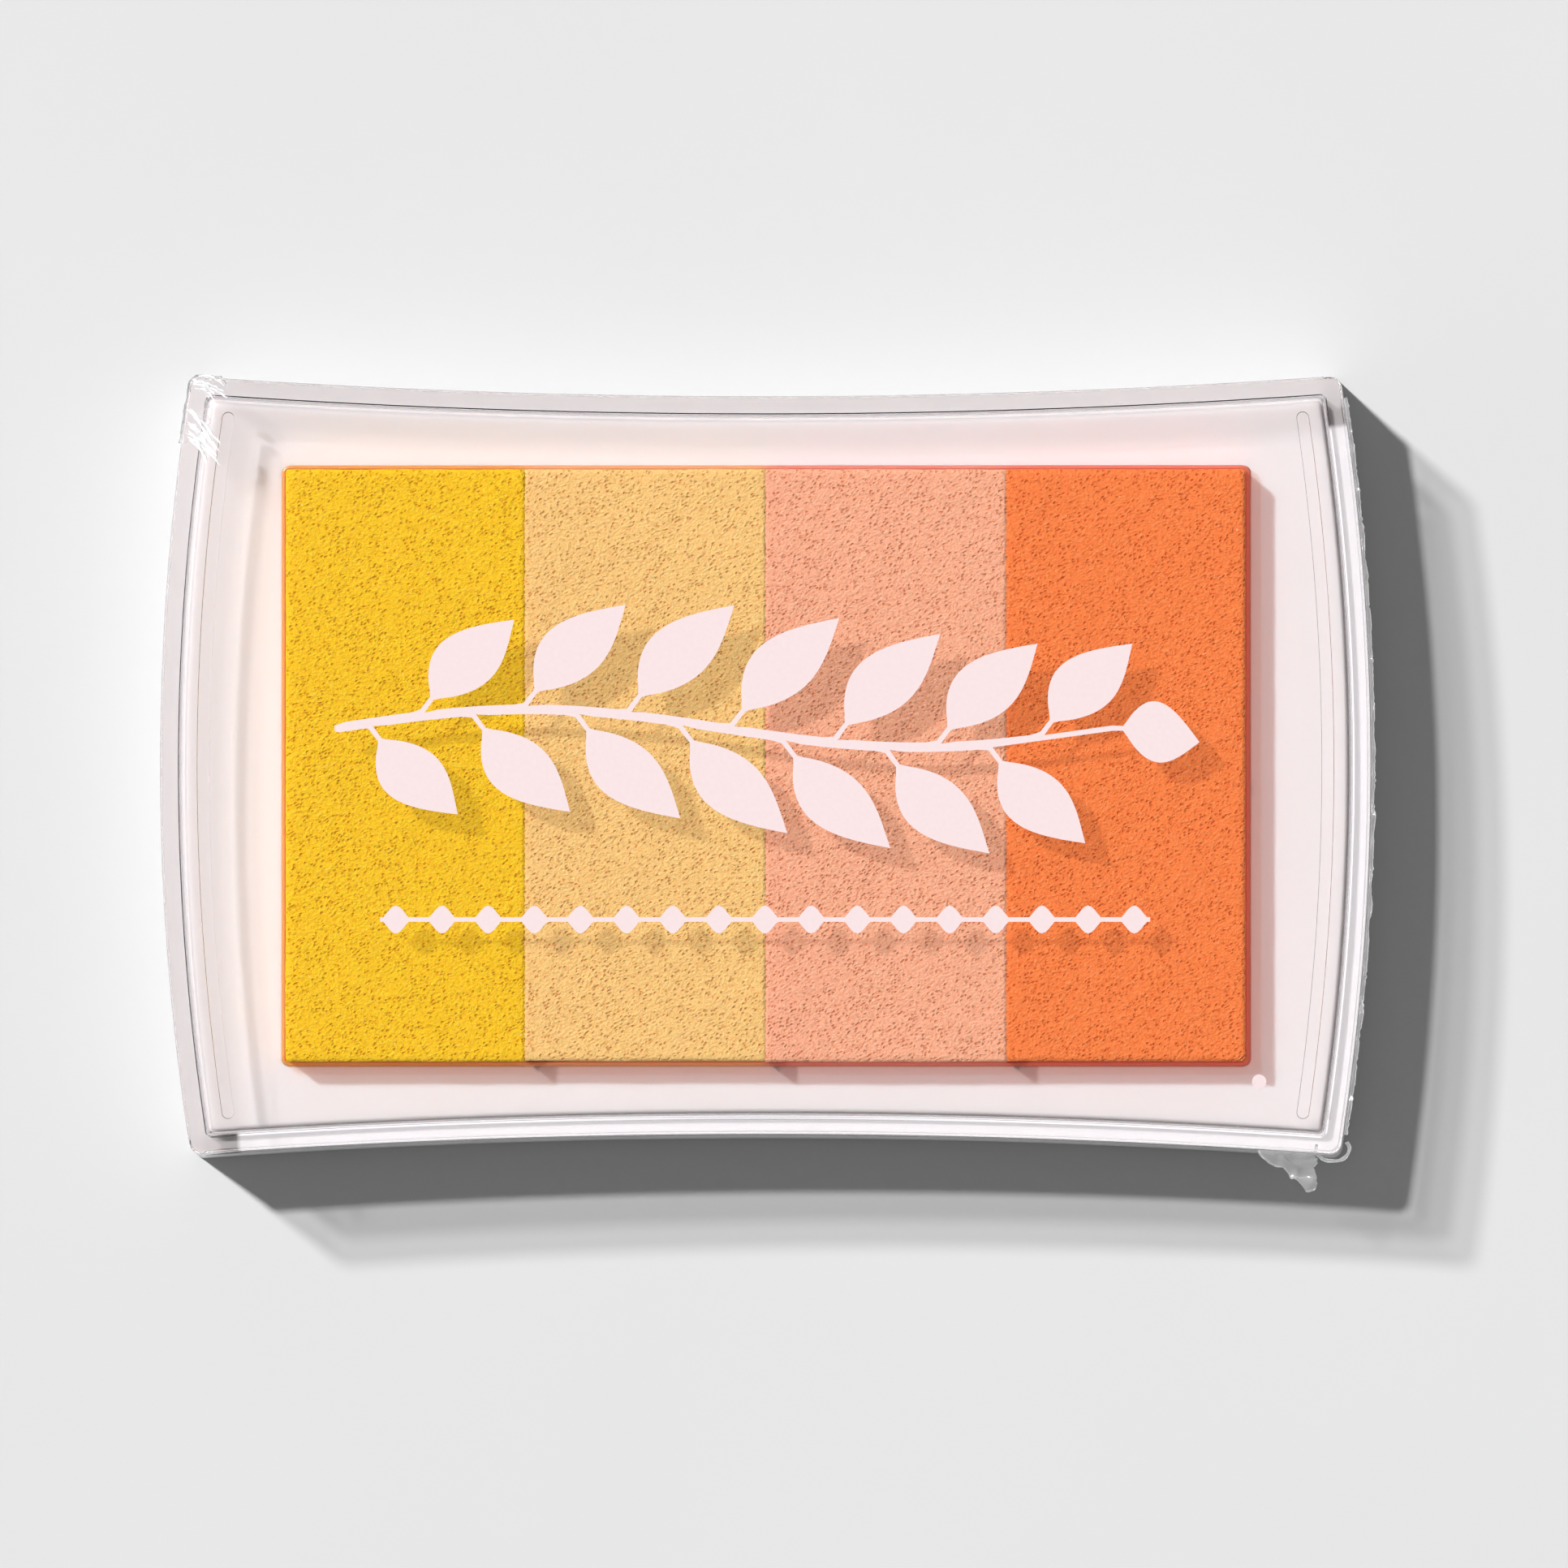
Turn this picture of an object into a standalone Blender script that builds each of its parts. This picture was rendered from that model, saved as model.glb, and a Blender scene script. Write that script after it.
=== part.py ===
"""A four-colour craft ink pad: a white two-piece base, four foam strips in a cup, and a clear lift-off lid.

Units are metres. The origin is the centre of the underside: +X along the case, +Z up through the lid.
"""

import math

import bmesh
import bpy
from mathutils import Vector
from mathutils.geometry import intersect_sphere_sphere_2d

MM = 0.001

# The case's outline, at the lid's top edge: ends that bulge, and long sides that draw in at the waist.
END_X = 47.80 * MM
WAIST_Y = 29.13 * MM
END_RADIUS = 194.9 * MM
WAIST_RADIUS = 640.0 * MM
CORNER = 0.9 * MM
INNER_CORNER = 0.5 * MM
ARC_STEPS = 6
CORNER_STEPS = 4

# Heights above the table. The lid stands on the shoulder, outside the raised deck.
TRAY_TOP = 8.5 * MM
SHOULDER = 9.6 * MM
DECK_TOP = 11.2 * MM
FOAM_TOP = 15.4 * MM
LID_TOP = 19.0 * MM

# Distances outside (+) or inside (-) the outline.
FOOT_FLARE = 0.45 * MM
SEAM_FLARE = 0.20 * MM
LID_WALL = 1.45 * MM
LID_WALL_FOOT = 1.25 * MM
DECK_INSET = 1.50 * MM

# Walls, gaps and edges.
SHELL = 1.5 * MM
FLOOR = 1.4 * MM
LID_PLATE = 1.4 * MM
EDGE = 0.3 * MM
LID_INNER_EDGE = 0.25 * MM
FIT = 0.1 * MM
SHEET_GAP = 0.05 * MM
PAST = 2.0 * MM
BITE = 0.2 * MM

# The two stiffening ribs under the lid's top.
RIB_INSET = 3.35 * MM
RIB_WIDTH = 1.0 * MM
RIB_DEPTH = 1.6 * MM
RIB_REACH = 27.95 * MM

# The pad: four strips of foam side by side in a cup, each on its own adhesive sheet.
PAD_LENGTH = 76.0 * MM
PAD_WIDTH = 47.05 * MM
STRIP_GAP = 0.2 * MM
STRIPS = ("yellow", "apricot", "peach", "orange")
FOAM_EDGE = 0.3 * MM
CUP_LENGTH = 76.8 * MM
CUP_WIDTH = 47.9 * MM
CUP_WALL = 0.35 * MM
CUP_FLOOR = 0.5 * MM
CUP_CORNER = 0.75 * MM
CUP_RIM = 12.7 * MM
POCKET_FLOOR = 8.6 * MM
SHEET = 0.15 * MM
SHEET_MARGIN = 1.0 * MM
DIVIDER = 0.1 * MM
DIVIDER_BELOW = 2.5 * MM

# The deck's underside: a locating rim inside the tray's wall, and ribs that stand on the tray's floor.
RIM_DROP = 2.5 * MM
RIM_WALL = 1.6 * MM
SUPPORT_WALL = 1.2 * MM
SUPPORT_LENGTH = 68.0 * MM
SUPPORT_PITCH = 18.0 * MM

# The blank label in the underside.
LABEL_LENGTH = 60.0 * MM
LABEL_WIDTH = 34.0 * MM
LABEL_CORNER = 2.0 * MM
LABEL_RECESS = 0.25 * MM
LABEL_SHEET = 0.12 * MM

# The white print on the lid: a leafy sprig, a beaded rule below it, and one register dot.
PRINT_SHEET = 0.04 * MM
PRINT_GAP = 0.01 * MM
SPRIG_START = -34.0 * MM
SPRIG_END = 27.4 * MM
SPRIG_Y = 2.9 * MM
SPRIG_WAVE = 1.5 * MM
STEM_HALF = 0.42 * MM
LEAVES_A_SIDE = 7
LEAF_SPREAD = 0.93
LEAF_LENGTH = 9.2 * MM
LEAF_GROWTH = 2.6 * MM
LEAF_HALF_WIDTH = 2.3 * MM
LEAF_STALK = 0.14
LEAF_DROOP = 0.16
LEAF_ANGLE = math.radians(54)
LEAF_STEPS = 7
END_LEAF = 0.75
RULE_Y = -12.2 * MM
RULE_HALF_LENGTH = 30.4 * MM
RULE_HALF = 0.18 * MM
BEADS = 17
BEAD_HALF_HEIGHT = 1.1 * MM
BEAD_HALF_LENGTH = 1.25 * MM
DOT_PLACE = (39.0 * MM, -25.0 * MM)
DOT_RADIUS = 0.57 * MM

WHITE = (0.86, 0.85, 0.84)
PRINT_WHITE = (0.95, 0.90, 0.88)
CLEAR = (0.93, 0.92, 0.95)
NATURAL = (0.85, 0.70, 0.60)
PAPER = (0.92, 0.92, 0.90)
INKS = {
    "yellow": (0.97, 0.56, 0.045),
    "apricot": (0.97, 0.53, 0.23),
    "peach": (0.95, 0.35, 0.22),
    "orange": (0.96, 0.22, 0.07),
}


def clear_scene():
    for old in list(bpy.data.objects):
        bpy.data.objects.remove(old)


def new_collection(name):
    collection = bpy.data.collections.new(name)
    bpy.context.scene.collection.children.link(collection)
    return collection


def plastic(name, colour, roughness, alpha=1.0):
    """A plain moulded or coated finish; a low alpha makes it see-through."""
    material = bpy.data.materials.new(name)
    material.use_nodes = True
    shader = material.node_tree.nodes["Principled BSDF"]
    shader.inputs["Base Color"].default_value = (*colour, 1.0)
    shader.inputs["Roughness"].default_value = roughness
    shader.inputs["Metallic"].default_value = 0.0
    shader.inputs["Alpha"].default_value = alpha
    return material


def case_outline(offset, corner):
    """The case's outline moved outward by offset, as (x, y) points going anticlockwise from +X."""
    end_centre = Vector((END_X - END_RADIUS, 0))
    waist_centre = Vector((0, WAIST_Y + WAIST_RADIUS))
    end_radius = END_RADIUS + offset
    waist_radius = WAIST_RADIUS - offset
    meetings = intersect_sphere_sphere_2d(
        end_centre, end_radius - corner, waist_centre, waist_radius + corner
    )
    corner_centre = max(meetings, key=lambda point: point.x)
    to_end = corner_centre - end_centre
    to_waist = waist_centre - corner_centre
    end_angle = math.atan2(to_end.y, to_end.x)
    waist_angle = math.atan2(to_waist.y, to_waist.x)
    quarter = arc(end_centre, end_radius, 0, end_angle, ARC_STEPS)[:-1]
    quarter += arc(corner_centre, corner, end_angle, waist_angle, CORNER_STEPS)[:-1]
    quarter += arc(waist_centre, waist_radius, waist_angle - math.pi, -math.pi / 2, ARC_STEPS)
    back = [(-x, y) for x, y in reversed(quarter[:-1])]
    half = quarter + back
    return half + [(-x, -y) for x, y in half[1:-1]]


def arc(centre, radius, start, end, steps):
    """Points along an arc, both ends included."""
    angles = [start + (end - start) * i / steps for i in range(steps + 1)]
    return [(centre[0] + radius * math.cos(a), centre[1] + radius * math.sin(a)) for a in angles]


def rounded_rectangle(length, width, corner):
    points = []
    for turn, (sx, sy) in enumerate(((1, 1), (-1, 1), (-1, -1), (1, -1))):
        centre = (sx * (length / 2 - corner), sy * (width / 2 - corner))
        start = turn * math.pi / 2
        points += arc(centre, corner, start, start + math.pi / 2, CORNER_STEPS)
    return points


def loft(name, collection, rings):
    """A closed solid through level rings of points, given lowest first as (z, points)."""
    bm = bmesh.new()
    loops = [[bm.verts.new((x, y, z)) for x, y in points] for z, points in rings]
    bm.faces.new(reversed(loops[0]))
    bm.faces.new(loops[-1])
    for lower, upper in zip(loops, loops[1:]):
        for i, corner in enumerate(lower):
            bm.faces.new((lower[i - 1], corner, upper[i], upper[i - 1]))
    bmesh.ops.recalc_face_normals(bm, faces=bm.faces)
    return add_object(name, collection, bm)


def block(name, collection, centre, size):
    """A rectangular bar, from a cube set to its size."""
    bm = bmesh.new()
    bmesh.ops.create_cube(bm, size=1)
    bmesh.ops.scale(bm, vec=size, verts=bm.verts)
    bmesh.ops.translate(bm, vec=centre, verts=bm.verts)
    return add_object(name, collection, bm)


def add_object(name, collection, bm):
    mesh = bpy.data.meshes.new(name)
    bm.to_mesh(mesh)
    bm.free()
    obj = bpy.data.objects.new(name, mesh)
    collection.objects.link(obj)
    return obj


def combine(target, tool, operation):
    """Joins tool to target, or takes it away, and keeps tool as a wire guide."""
    tool.hide_render = True
    tool.display_type = "WIRE"
    boolean = target.modifiers.new(tool.name, "BOOLEAN")
    boolean.object = tool
    boolean.operation = operation
    boolean.solver = "EXACT"


def round_edges(obj, width, segments=2):
    bevel = obj.modifiers.new("edges", "BEVEL")
    bevel.width = width
    bevel.segments = segments
    bevel.limit_method = "ANGLE"
    bevel.angle_limit = math.radians(50)


def finish(obj, material):
    obj.data.materials.append(material)
    obj.data.shade_smooth()
    obj.data.set_sharp_from_angle(angle=math.radians(35))
    return obj


def make_base_tray(parts, guides):
    """The lower white moulding: a closed bottom and a wall that leans in a little up to the seam."""
    tray = loft("base_tray", parts, [
        (0, case_outline(FOOT_FLARE, CORNER)),
        (TRAY_TOP, case_outline(SEAM_FLARE, CORNER)),
    ])
    round_edges(tray, EDGE)
    hollow = loft("tray_hollow", guides, [
        (FLOOR, case_outline(FOOT_FLARE - SHELL, INNER_CORNER)),
        (TRAY_TOP + PAST, case_outline(SEAM_FLARE - SHELL, INNER_CORNER)),
    ])
    combine(tray, hollow, "DIFFERENCE")
    recess = rounded_rectangle(LABEL_LENGTH + 2 * FIT, LABEL_WIDTH + 2 * FIT, LABEL_CORNER)
    combine(tray, loft("label_recess", guides, [(-PAST, recess), (LABEL_RECESS, recess)]), "DIFFERENCE")
    return finish(tray, plastic("white base plastic", WHITE, 0.35))


def make_deck(parts, guides):
    """The upper white moulding: the lid's shoulder, the raised deck, the pad's pocket and a locating rim."""
    underside = DECK_TOP - SHELL
    lip_foot = TRAY_TOP + FIT
    deck = loft("deck", parts, [
        (lip_foot, case_outline(SEAM_FLARE, CORNER)),
        (SHOULDER, case_outline(SEAM_FLARE, CORNER)),
        (SHOULDER, case_outline(-DECK_INSET, INNER_CORNER)),
        (DECK_TOP, case_outline(-DECK_INSET, INNER_CORNER)),
    ])
    round_edges(deck, EDGE)
    rim_inset = SHELL - SEAM_FLARE + FIT
    rim = case_outline(-rim_inset, INNER_CORNER)
    rim_hollow = case_outline(-rim_inset - RIM_WALL, INNER_CORNER)
    rim_foot = lip_foot - RIM_DROP
    combine(deck, loft("rim", guides, [(rim_foot, rim), (lip_foot + BITE, rim)]), "UNION")
    rim_cutter = loft("rim_hollow", guides, [(rim_foot - PAST, rim_hollow), (underside, rim_hollow)])
    combine(deck, rim_cutter, "DIFFERENCE")
    tub_foot = POCKET_FLOOR - FLOOR
    tub = rounded_rectangle(CUP_LENGTH + 2 * SHELL, CUP_WIDTH + 2 * SHELL, CUP_CORNER)
    combine(deck, loft("tub", guides, [(tub_foot, tub), (underside + BITE, tub)]), "UNION")
    for place in (-1, 0, 1):
        height = tub_foot + BITE - FLOOR - FIT
        centre = (0, place * SUPPORT_PITCH, FLOOR + FIT + height / 2)
        support = block(f"support_{place + 2}", guides, centre, (SUPPORT_LENGTH, SUPPORT_WALL, height))
        combine(deck, support, "UNION")
    pocket = rounded_rectangle(CUP_LENGTH + 2 * SHEET_GAP, CUP_WIDTH + 2 * SHEET_GAP, CUP_CORNER)
    combine(deck, loft("pocket", guides, [(POCKET_FLOOR, pocket), (DECK_TOP + PAST, pocket)]), "DIFFERENCE")
    return finish(deck, plastic("white deck plastic", WHITE, 0.35))


def make_pad_cup(parts, guides):
    """The thin cup that the strips are glued into, and the sheet that holds it down in the pocket."""
    sheet_foot = POCKET_FLOOR + SHEET_GAP
    margin = 2 * SHEET_MARGIN
    patch = rounded_rectangle(CUP_LENGTH - margin, CUP_WIDTH - margin, CUP_CORNER)
    sheet = loft("cup_adhesive", parts, [(sheet_foot, patch), (sheet_foot + SHEET, patch)])
    finish(sheet, plastic("clear adhesive", CLEAR, 0.3, 0.5))
    foot = sheet_foot + SHEET + SHEET_GAP
    outside = rounded_rectangle(CUP_LENGTH, CUP_WIDTH, CUP_CORNER)
    wall = 2 * CUP_WALL
    inside = rounded_rectangle(CUP_LENGTH - wall, CUP_WIDTH - wall, CUP_CORNER - CUP_WALL)
    cup = loft("pad_cup", parts, [(foot, outside), (CUP_RIM, outside)])
    floor_top = foot + CUP_FLOOR
    combine(cup, loft("cup_hollow", guides, [(floor_top, inside), (CUP_RIM + PAST, inside)]), "DIFFERENCE")
    finish(cup, plastic("natural cup plastic", NATURAL, 0.3, 0.6))
    return floor_top


def make_strips(parts, cup_floor):
    """Four foam strips on adhesive sheets, with a thin film standing between each two to part the inks."""
    width = (PAD_LENGTH - 3 * STRIP_GAP) / len(STRIPS)
    pitch = width + STRIP_GAP
    sheet_foot = cup_floor + SHEET_GAP
    foam_foot = sheet_foot + SHEET + SHEET_GAP
    for i, ink in enumerate(STRIPS):
        x = (i - (len(STRIPS) - 1) / 2) * pitch
        sheet_size = (width - SHEET_MARGIN, PAD_WIDTH - SHEET_MARGIN, SHEET)
        sheet = block(f"adhesive_{ink}", parts, (x, 0, sheet_foot + SHEET / 2), sheet_size)
        finish(sheet, plastic(f"{ink} adhesive", CLEAR, 0.3, 0.5))
        middle = (x, 0, (foam_foot + FOAM_TOP) / 2)
        foam = block(f"foam_{ink}", parts, middle, (width, PAD_WIDTH, FOAM_TOP - foam_foot))
        round_edges(foam, FOAM_EDGE)
        finish(foam, plastic(f"{ink} inked foam", INKS[ink], 0.6))
    film_foot = cup_floor + SHEET_GAP
    film_top = FOAM_TOP - DIVIDER_BELOW
    for i in range(len(STRIPS) - 1):
        x = (i + 1 - len(STRIPS) / 2) * pitch
        middle = (x, 0, (film_foot + film_top) / 2)
        film = block(f"divider_{i + 1}", parts, middle, (DIVIDER, PAD_WIDTH, film_top - film_foot))
        finish(film, plastic(f"divider film {i + 1}", CLEAR, 0.2, 0.4))


def make_label(parts):
    """The blank paper label, sunk in the underside so that the pad never stands on it."""
    shape = rounded_rectangle(LABEL_LENGTH, LABEL_WIDTH, LABEL_CORNER)
    foot = LABEL_RECESS - SHEET_GAP - LABEL_SHEET
    label = loft("underside_label", parts, [(foot, shape), (foot + LABEL_SHEET, shape)])
    return finish(label, plastic("label paper", PAPER, 0.7))


def rib_outline(side):
    """A bar that follows the case's bulging end, with round ends."""
    centre = (side * (END_X - END_RADIUS), 0)
    radius = END_RADIUS - RIB_INSET
    half = RIB_WIDTH / 2
    reach = math.asin((RIB_REACH - half) / radius)
    middle = math.pi / 2 - side * math.pi / 2
    points = arc(centre, radius + half, middle - reach, middle + reach, 2 * ARC_STEPS)
    for turn, end in ((0, middle + reach), (math.pi, middle - reach)):
        tip = arc(centre, radius, end, end, 1)[0]
        points += arc(tip, half, end + turn, end + turn + math.pi, CORNER_STEPS)[1:-1]
        if turn == 0:
            points += arc(centre, radius - half, middle + reach, middle - reach, 2 * ARC_STEPS)
    return points


def make_lid(parts, guides):
    """The clear lid: a drafted wall, a flat top with a soft edge, and two ribs under it."""
    foot = SHOULDER + FIT
    ceiling = LID_TOP - LID_PLATE
    lid = loft("lid", parts, [
        (foot, case_outline(SEAM_FLARE, CORNER)),
        (LID_TOP, case_outline(0, CORNER)),
    ])
    round_edges(lid, EDGE)
    hollow = loft("lid_hollow", guides, [
        (foot - PAST, case_outline(-LID_WALL_FOOT, INNER_CORNER)),
        (ceiling, case_outline(-LID_WALL, INNER_CORNER)),
    ])
    round_edges(hollow, LID_INNER_EDGE)
    combine(lid, hollow, "DIFFERENCE")
    for side, name in ((-1, "rib_left"), (1, "rib_right")):
        outline = rib_outline(side)
        rib = loft(name, guides, [(ceiling - RIB_DEPTH, outline), (ceiling + BITE, outline)])
        combine(lid, rib, "UNION")
    return finish(lid, plastic("clear lid plastic", CLEAR, 0.05, 0.3))


def stem_point(t):
    """The sprig's stem: a slow wave from left to right. t runs from 0 to 1."""
    x = SPRIG_START + (SPRIG_END - SPRIG_START) * t
    return Vector((x, SPRIG_Y + SPRIG_WAVE * math.sin(2 * math.pi * t)))


def leaf_outline(root, heading, side, length):
    """One leaf's edge, out along its near side and back along its far side, on a short stalk."""
    along = Vector((math.cos(heading), math.sin(heading)))
    across = Vector((-along.y, along.x)) * side
    edge = []
    for way, steps in ((1, range(LEAF_STEPS)), (-1, range(LEAF_STEPS, -1, -1))):
        for i in steps:
            t = i / LEAF_STEPS
            blade = max(0, (t - LEAF_STALK) / (1 - LEAF_STALK)) ** 0.85
            width = STEM_HALF * (1 - t) / 2 + LEAF_HALF_WIDTH * math.sin(math.pi * blade)
            spine = root + along * length * t - across * length * LEAF_DROOP * t * t
            edge.append(tuple(spine + across * width * way))
    return edge


def sprig_outline():
    """Stem and leaves as one closed edge: along the upper side, round the last leaf, and back below."""
    upper, lower = [], []
    for side, edge in ((1, upper), (-1, lower)):
        edge.append(tuple(stem_point(0) + Vector((0, side * STEM_HALF / 2))))
        for i in range(LEAVES_A_SIDE):
            t = LEAF_SPREAD * (i + 0.45 + 0.25 * side) / LEAVES_A_SIDE + 0.02
            root = stem_point(t) + Vector((0, side * STEM_HALF * 0.9))
            length = LEAF_LENGTH + LEAF_GROWTH * math.sin(math.pi * t)
            edge += leaf_outline(root, side * LEAF_ANGLE, side, length)
    return upper + leaf_outline(stem_point(1), 0, 1, LEAF_LENGTH * END_LEAF) + lower[::-1]


def rule_outline():
    """A thin rule with a row of small lozenge beads on it, as one closed edge."""
    upper = [(-RULE_HALF_LENGTH, RULE_HALF)]
    pitch = 2 * (RULE_HALF_LENGTH - BEAD_HALF_LENGTH) / (BEADS - 1)
    for i in range(BEADS):
        x = -RULE_HALF_LENGTH + BEAD_HALF_LENGTH + i * pitch
        upper += [(x - BEAD_HALF_LENGTH * 0.8, RULE_HALF), (x, BEAD_HALF_HEIGHT)]
        upper += [(x + BEAD_HALF_LENGTH * 0.8, RULE_HALF)]
    upper.append((RULE_HALF_LENGTH, RULE_HALF))
    lower = [(x, -y) for x, y in reversed(upper)]
    return [(x, RULE_Y + y) for x, y in upper + lower]


def make_print(parts):
    """The lid's white print, as three thin layers of ink just clear of its top face."""
    foot = LID_TOP + PRINT_GAP
    top = foot + PRINT_SHEET
    shapes = {
        "print_sprig": sprig_outline(),
        "print_rule": rule_outline(),
        "print_dot": arc(DOT_PLACE, DOT_RADIUS, 0, 2 * math.pi, 4 * CORNER_STEPS)[:-1],
    }
    layers = []
    for name, shape in shapes.items():
        layer = loft(name, parts, [(foot, shape), (top, shape)])
        layers.append(finish(layer, plastic(f"{name} ink", PRINT_WHITE, 0.5)))
    return layers


def lift_with_lid(parts, pieces):
    """Parents the lid and its print to an empty on the line that the lid lifts along."""
    handle = bpy.data.objects.new("lid_lift", None)
    parts.objects.link(handle)
    for piece in pieces:
        piece.parent = handle


def build():
    clear_scene()
    parts = new_collection("ink_pad")
    guides = new_collection("cutters")
    make_base_tray(parts, guides)
    make_deck(parts, guides)
    cup_floor = make_pad_cup(parts, guides)
    make_strips(parts, cup_floor)
    make_label(parts)
    lid = make_lid(parts, guides)
    lift_with_lid(parts, [lid] + make_print(parts))


build()
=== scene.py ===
import math

import bmesh
import bpy
from mathutils import Matrix, Vector, noise
from mathutils.geometry import intersect_sphere_sphere_2d


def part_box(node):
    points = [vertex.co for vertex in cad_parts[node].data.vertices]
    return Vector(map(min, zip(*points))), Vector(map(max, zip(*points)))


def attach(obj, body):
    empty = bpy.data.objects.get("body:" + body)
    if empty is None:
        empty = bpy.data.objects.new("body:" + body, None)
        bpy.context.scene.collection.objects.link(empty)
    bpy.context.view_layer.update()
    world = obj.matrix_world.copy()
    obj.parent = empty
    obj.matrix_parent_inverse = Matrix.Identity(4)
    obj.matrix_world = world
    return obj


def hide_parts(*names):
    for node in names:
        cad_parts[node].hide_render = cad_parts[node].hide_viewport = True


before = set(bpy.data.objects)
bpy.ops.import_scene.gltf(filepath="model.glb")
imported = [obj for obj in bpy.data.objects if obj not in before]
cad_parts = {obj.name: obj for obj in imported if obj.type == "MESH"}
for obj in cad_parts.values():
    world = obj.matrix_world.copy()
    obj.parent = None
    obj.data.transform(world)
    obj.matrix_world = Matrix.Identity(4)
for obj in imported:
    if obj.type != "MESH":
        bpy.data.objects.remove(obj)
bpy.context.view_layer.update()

MM = 0.001

# ---------------------------------------------------------------------------------------------
# Base tray: the lower half of the case, one white styrene moulding with a closed bottom. Its
# wall leans in a little from foot to seam. Everything in the base is fixed to it.
# ---------------------------------------------------------------------------------------------

TRAY_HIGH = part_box("base_tray")[1]
DECK_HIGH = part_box("deck")[1]
LABEL_LOW, LABEL_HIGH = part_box("underside_label")

END_X = 47.80 * MM
WAIST_Y = 29.13 * MM
END_RADIUS = 194.9 * MM
WAIST_RADIUS = 640.0 * MM
ARC_STEPS = 26
CORNER_STEPS = 9
CASE_CORNER = 0.9 * MM
INNER_CORNER = 0.5 * MM

FOOT_FLARE = TRAY_HIGH.x - END_X
SEAM_FLARE = DECK_HIGH.x - END_X
SEAM_EDGE = 0.2 * MM
TRAY_FLOOR = 1.4 * MM
SHELL = 1.5 * MM
LABEL_RECESS = 0.25 * MM
LABEL_MARGIN = 0.1 * MM
LABEL_CORNER = 2.0 * MM
MIDDLE_INSET = 20.0 * MM
MIDDLE_CORNER = 0.4 * MM
BITE = 0.2 * MM
SHARP_ANGLE = math.radians(32)


def arc(centre, radius, start, end, steps):
    """Points along an arc, both ends included."""
    angles = [start + (end - start) * i / steps for i in range(steps + 1)]
    return [(centre[0] + radius * math.cos(a), centre[1] + radius * math.sin(a)) for a in angles]


def case_outline(offset, corner):
    """The case's outline moved outward by offset: bulging ends, and long sides drawn in at the waist."""
    end_centre = Vector((END_X - END_RADIUS, 0))
    waist_centre = Vector((0, WAIST_Y + WAIST_RADIUS))
    end_radius = END_RADIUS + offset
    waist_radius = WAIST_RADIUS - offset
    meetings = intersect_sphere_sphere_2d(
        end_centre, end_radius - corner, waist_centre, waist_radius + corner
    )
    corner_centre = max(meetings, key=lambda point: point.x)
    to_end = corner_centre - end_centre
    to_waist = waist_centre - corner_centre
    end_angle = math.atan2(to_end.y, to_end.x)
    waist_angle = math.atan2(to_waist.y, to_waist.x)
    quarter = arc(end_centre, end_radius, 0, end_angle, ARC_STEPS)[:-1]
    quarter += arc(corner_centre, corner, end_angle, waist_angle, CORNER_STEPS)[:-1]
    quarter += arc(waist_centre, waist_radius, waist_angle - math.pi, -math.pi / 2, ARC_STEPS)
    half = quarter + [(-x, y) for x, y in reversed(quarter[:-1])]
    return half + [(-x, -y) for x, y in half[1:-1]]


def rounded_rectangle(length, width, corner):
    points = []
    for turn, (sx, sy) in enumerate(((1, 1), (-1, 1), (-1, -1), (1, -1))):
        centre = (sx * (length / 2 - corner), sy * (width / 2 - corner))
        start = turn * math.pi / 2
        points += arc(centre, corner, start, start + math.pi / 2, CORNER_STEPS)
    return points


def add_piece(name, bm):
    """A mesh object from bm, smooth except where its faces meet sharply."""
    bmesh.ops.recalc_face_normals(bm, faces=bm.faces)
    mesh = bpy.data.meshes.new(name)
    bm.to_mesh(mesh)
    bm.free()
    piece = bpy.data.objects.new(name, mesh)
    bpy.context.scene.collection.objects.link(piece)
    mesh.shade_smooth()
    mesh.set_sharp_from_angle(angle=SHARP_ANGLE)
    return piece


def closed_skin(name, rings):
    """A closed solid through rings of 3-D points, as many in each; the first and last are capped."""
    bm = bmesh.new()
    loops = [[bm.verts.new(point) for point in ring] for ring in rings]
    bm.faces.new(loops[0])
    bm.faces.new(loops[-1])
    for near, far in zip(loops, loops[1:]):
        for i, corner in enumerate(near):
            bm.faces.new((near[i - 1], corner, far[i], far[i - 1]))
    return add_piece(name, bm)


def level(points, z):
    return [(x, y, z) for x, y in points]


def moulding(name, section, shape=case_outline):
    """A closed solid from section, a list of (offset, corner, height) from one cap round to the other."""
    return closed_skin(name, [level(shape(offset, corner), z) for offset, corner, z in section])


def fillet(start_offset, start_z, end_offset, end_z, corner, steps=5, bulge_out=True):
    """A quarter-round of a section. It leaves start along the wall, or along the level if not bulge_out."""
    points = []
    for i in range(1, steps):
        a = math.pi / 2 * i / steps
        s, c = math.sin(a), math.cos(a)
        if bulge_out:
            offset = end_offset + (start_offset - end_offset) * c
            z = start_z + (end_z - start_z) * s
        else:
            offset = start_offset + (end_offset - start_offset) * s
            z = end_z + (start_z - end_z) * c
        points.append((offset, corner, z))
    return points


def apply_boolean(piece, tool, operation):
    """Cuts tool from piece, or joins it on, for good."""
    boolean = piece.modifiers.new("cut", "BOOLEAN")
    boolean.object = tool
    boolean.operation = operation
    graph = bpy.context.evaluated_depsgraph_get()
    mesh = bpy.data.meshes.new_from_object(piece.evaluated_get(graph))
    piece.modifiers.clear()
    old = piece.data
    piece.data = mesh
    bpy.data.meshes.remove(old)
    bpy.data.objects.remove(tool)
    mesh.shade_smooth()
    mesh.set_sharp_from_angle(angle=SHARP_ANGLE)


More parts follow.
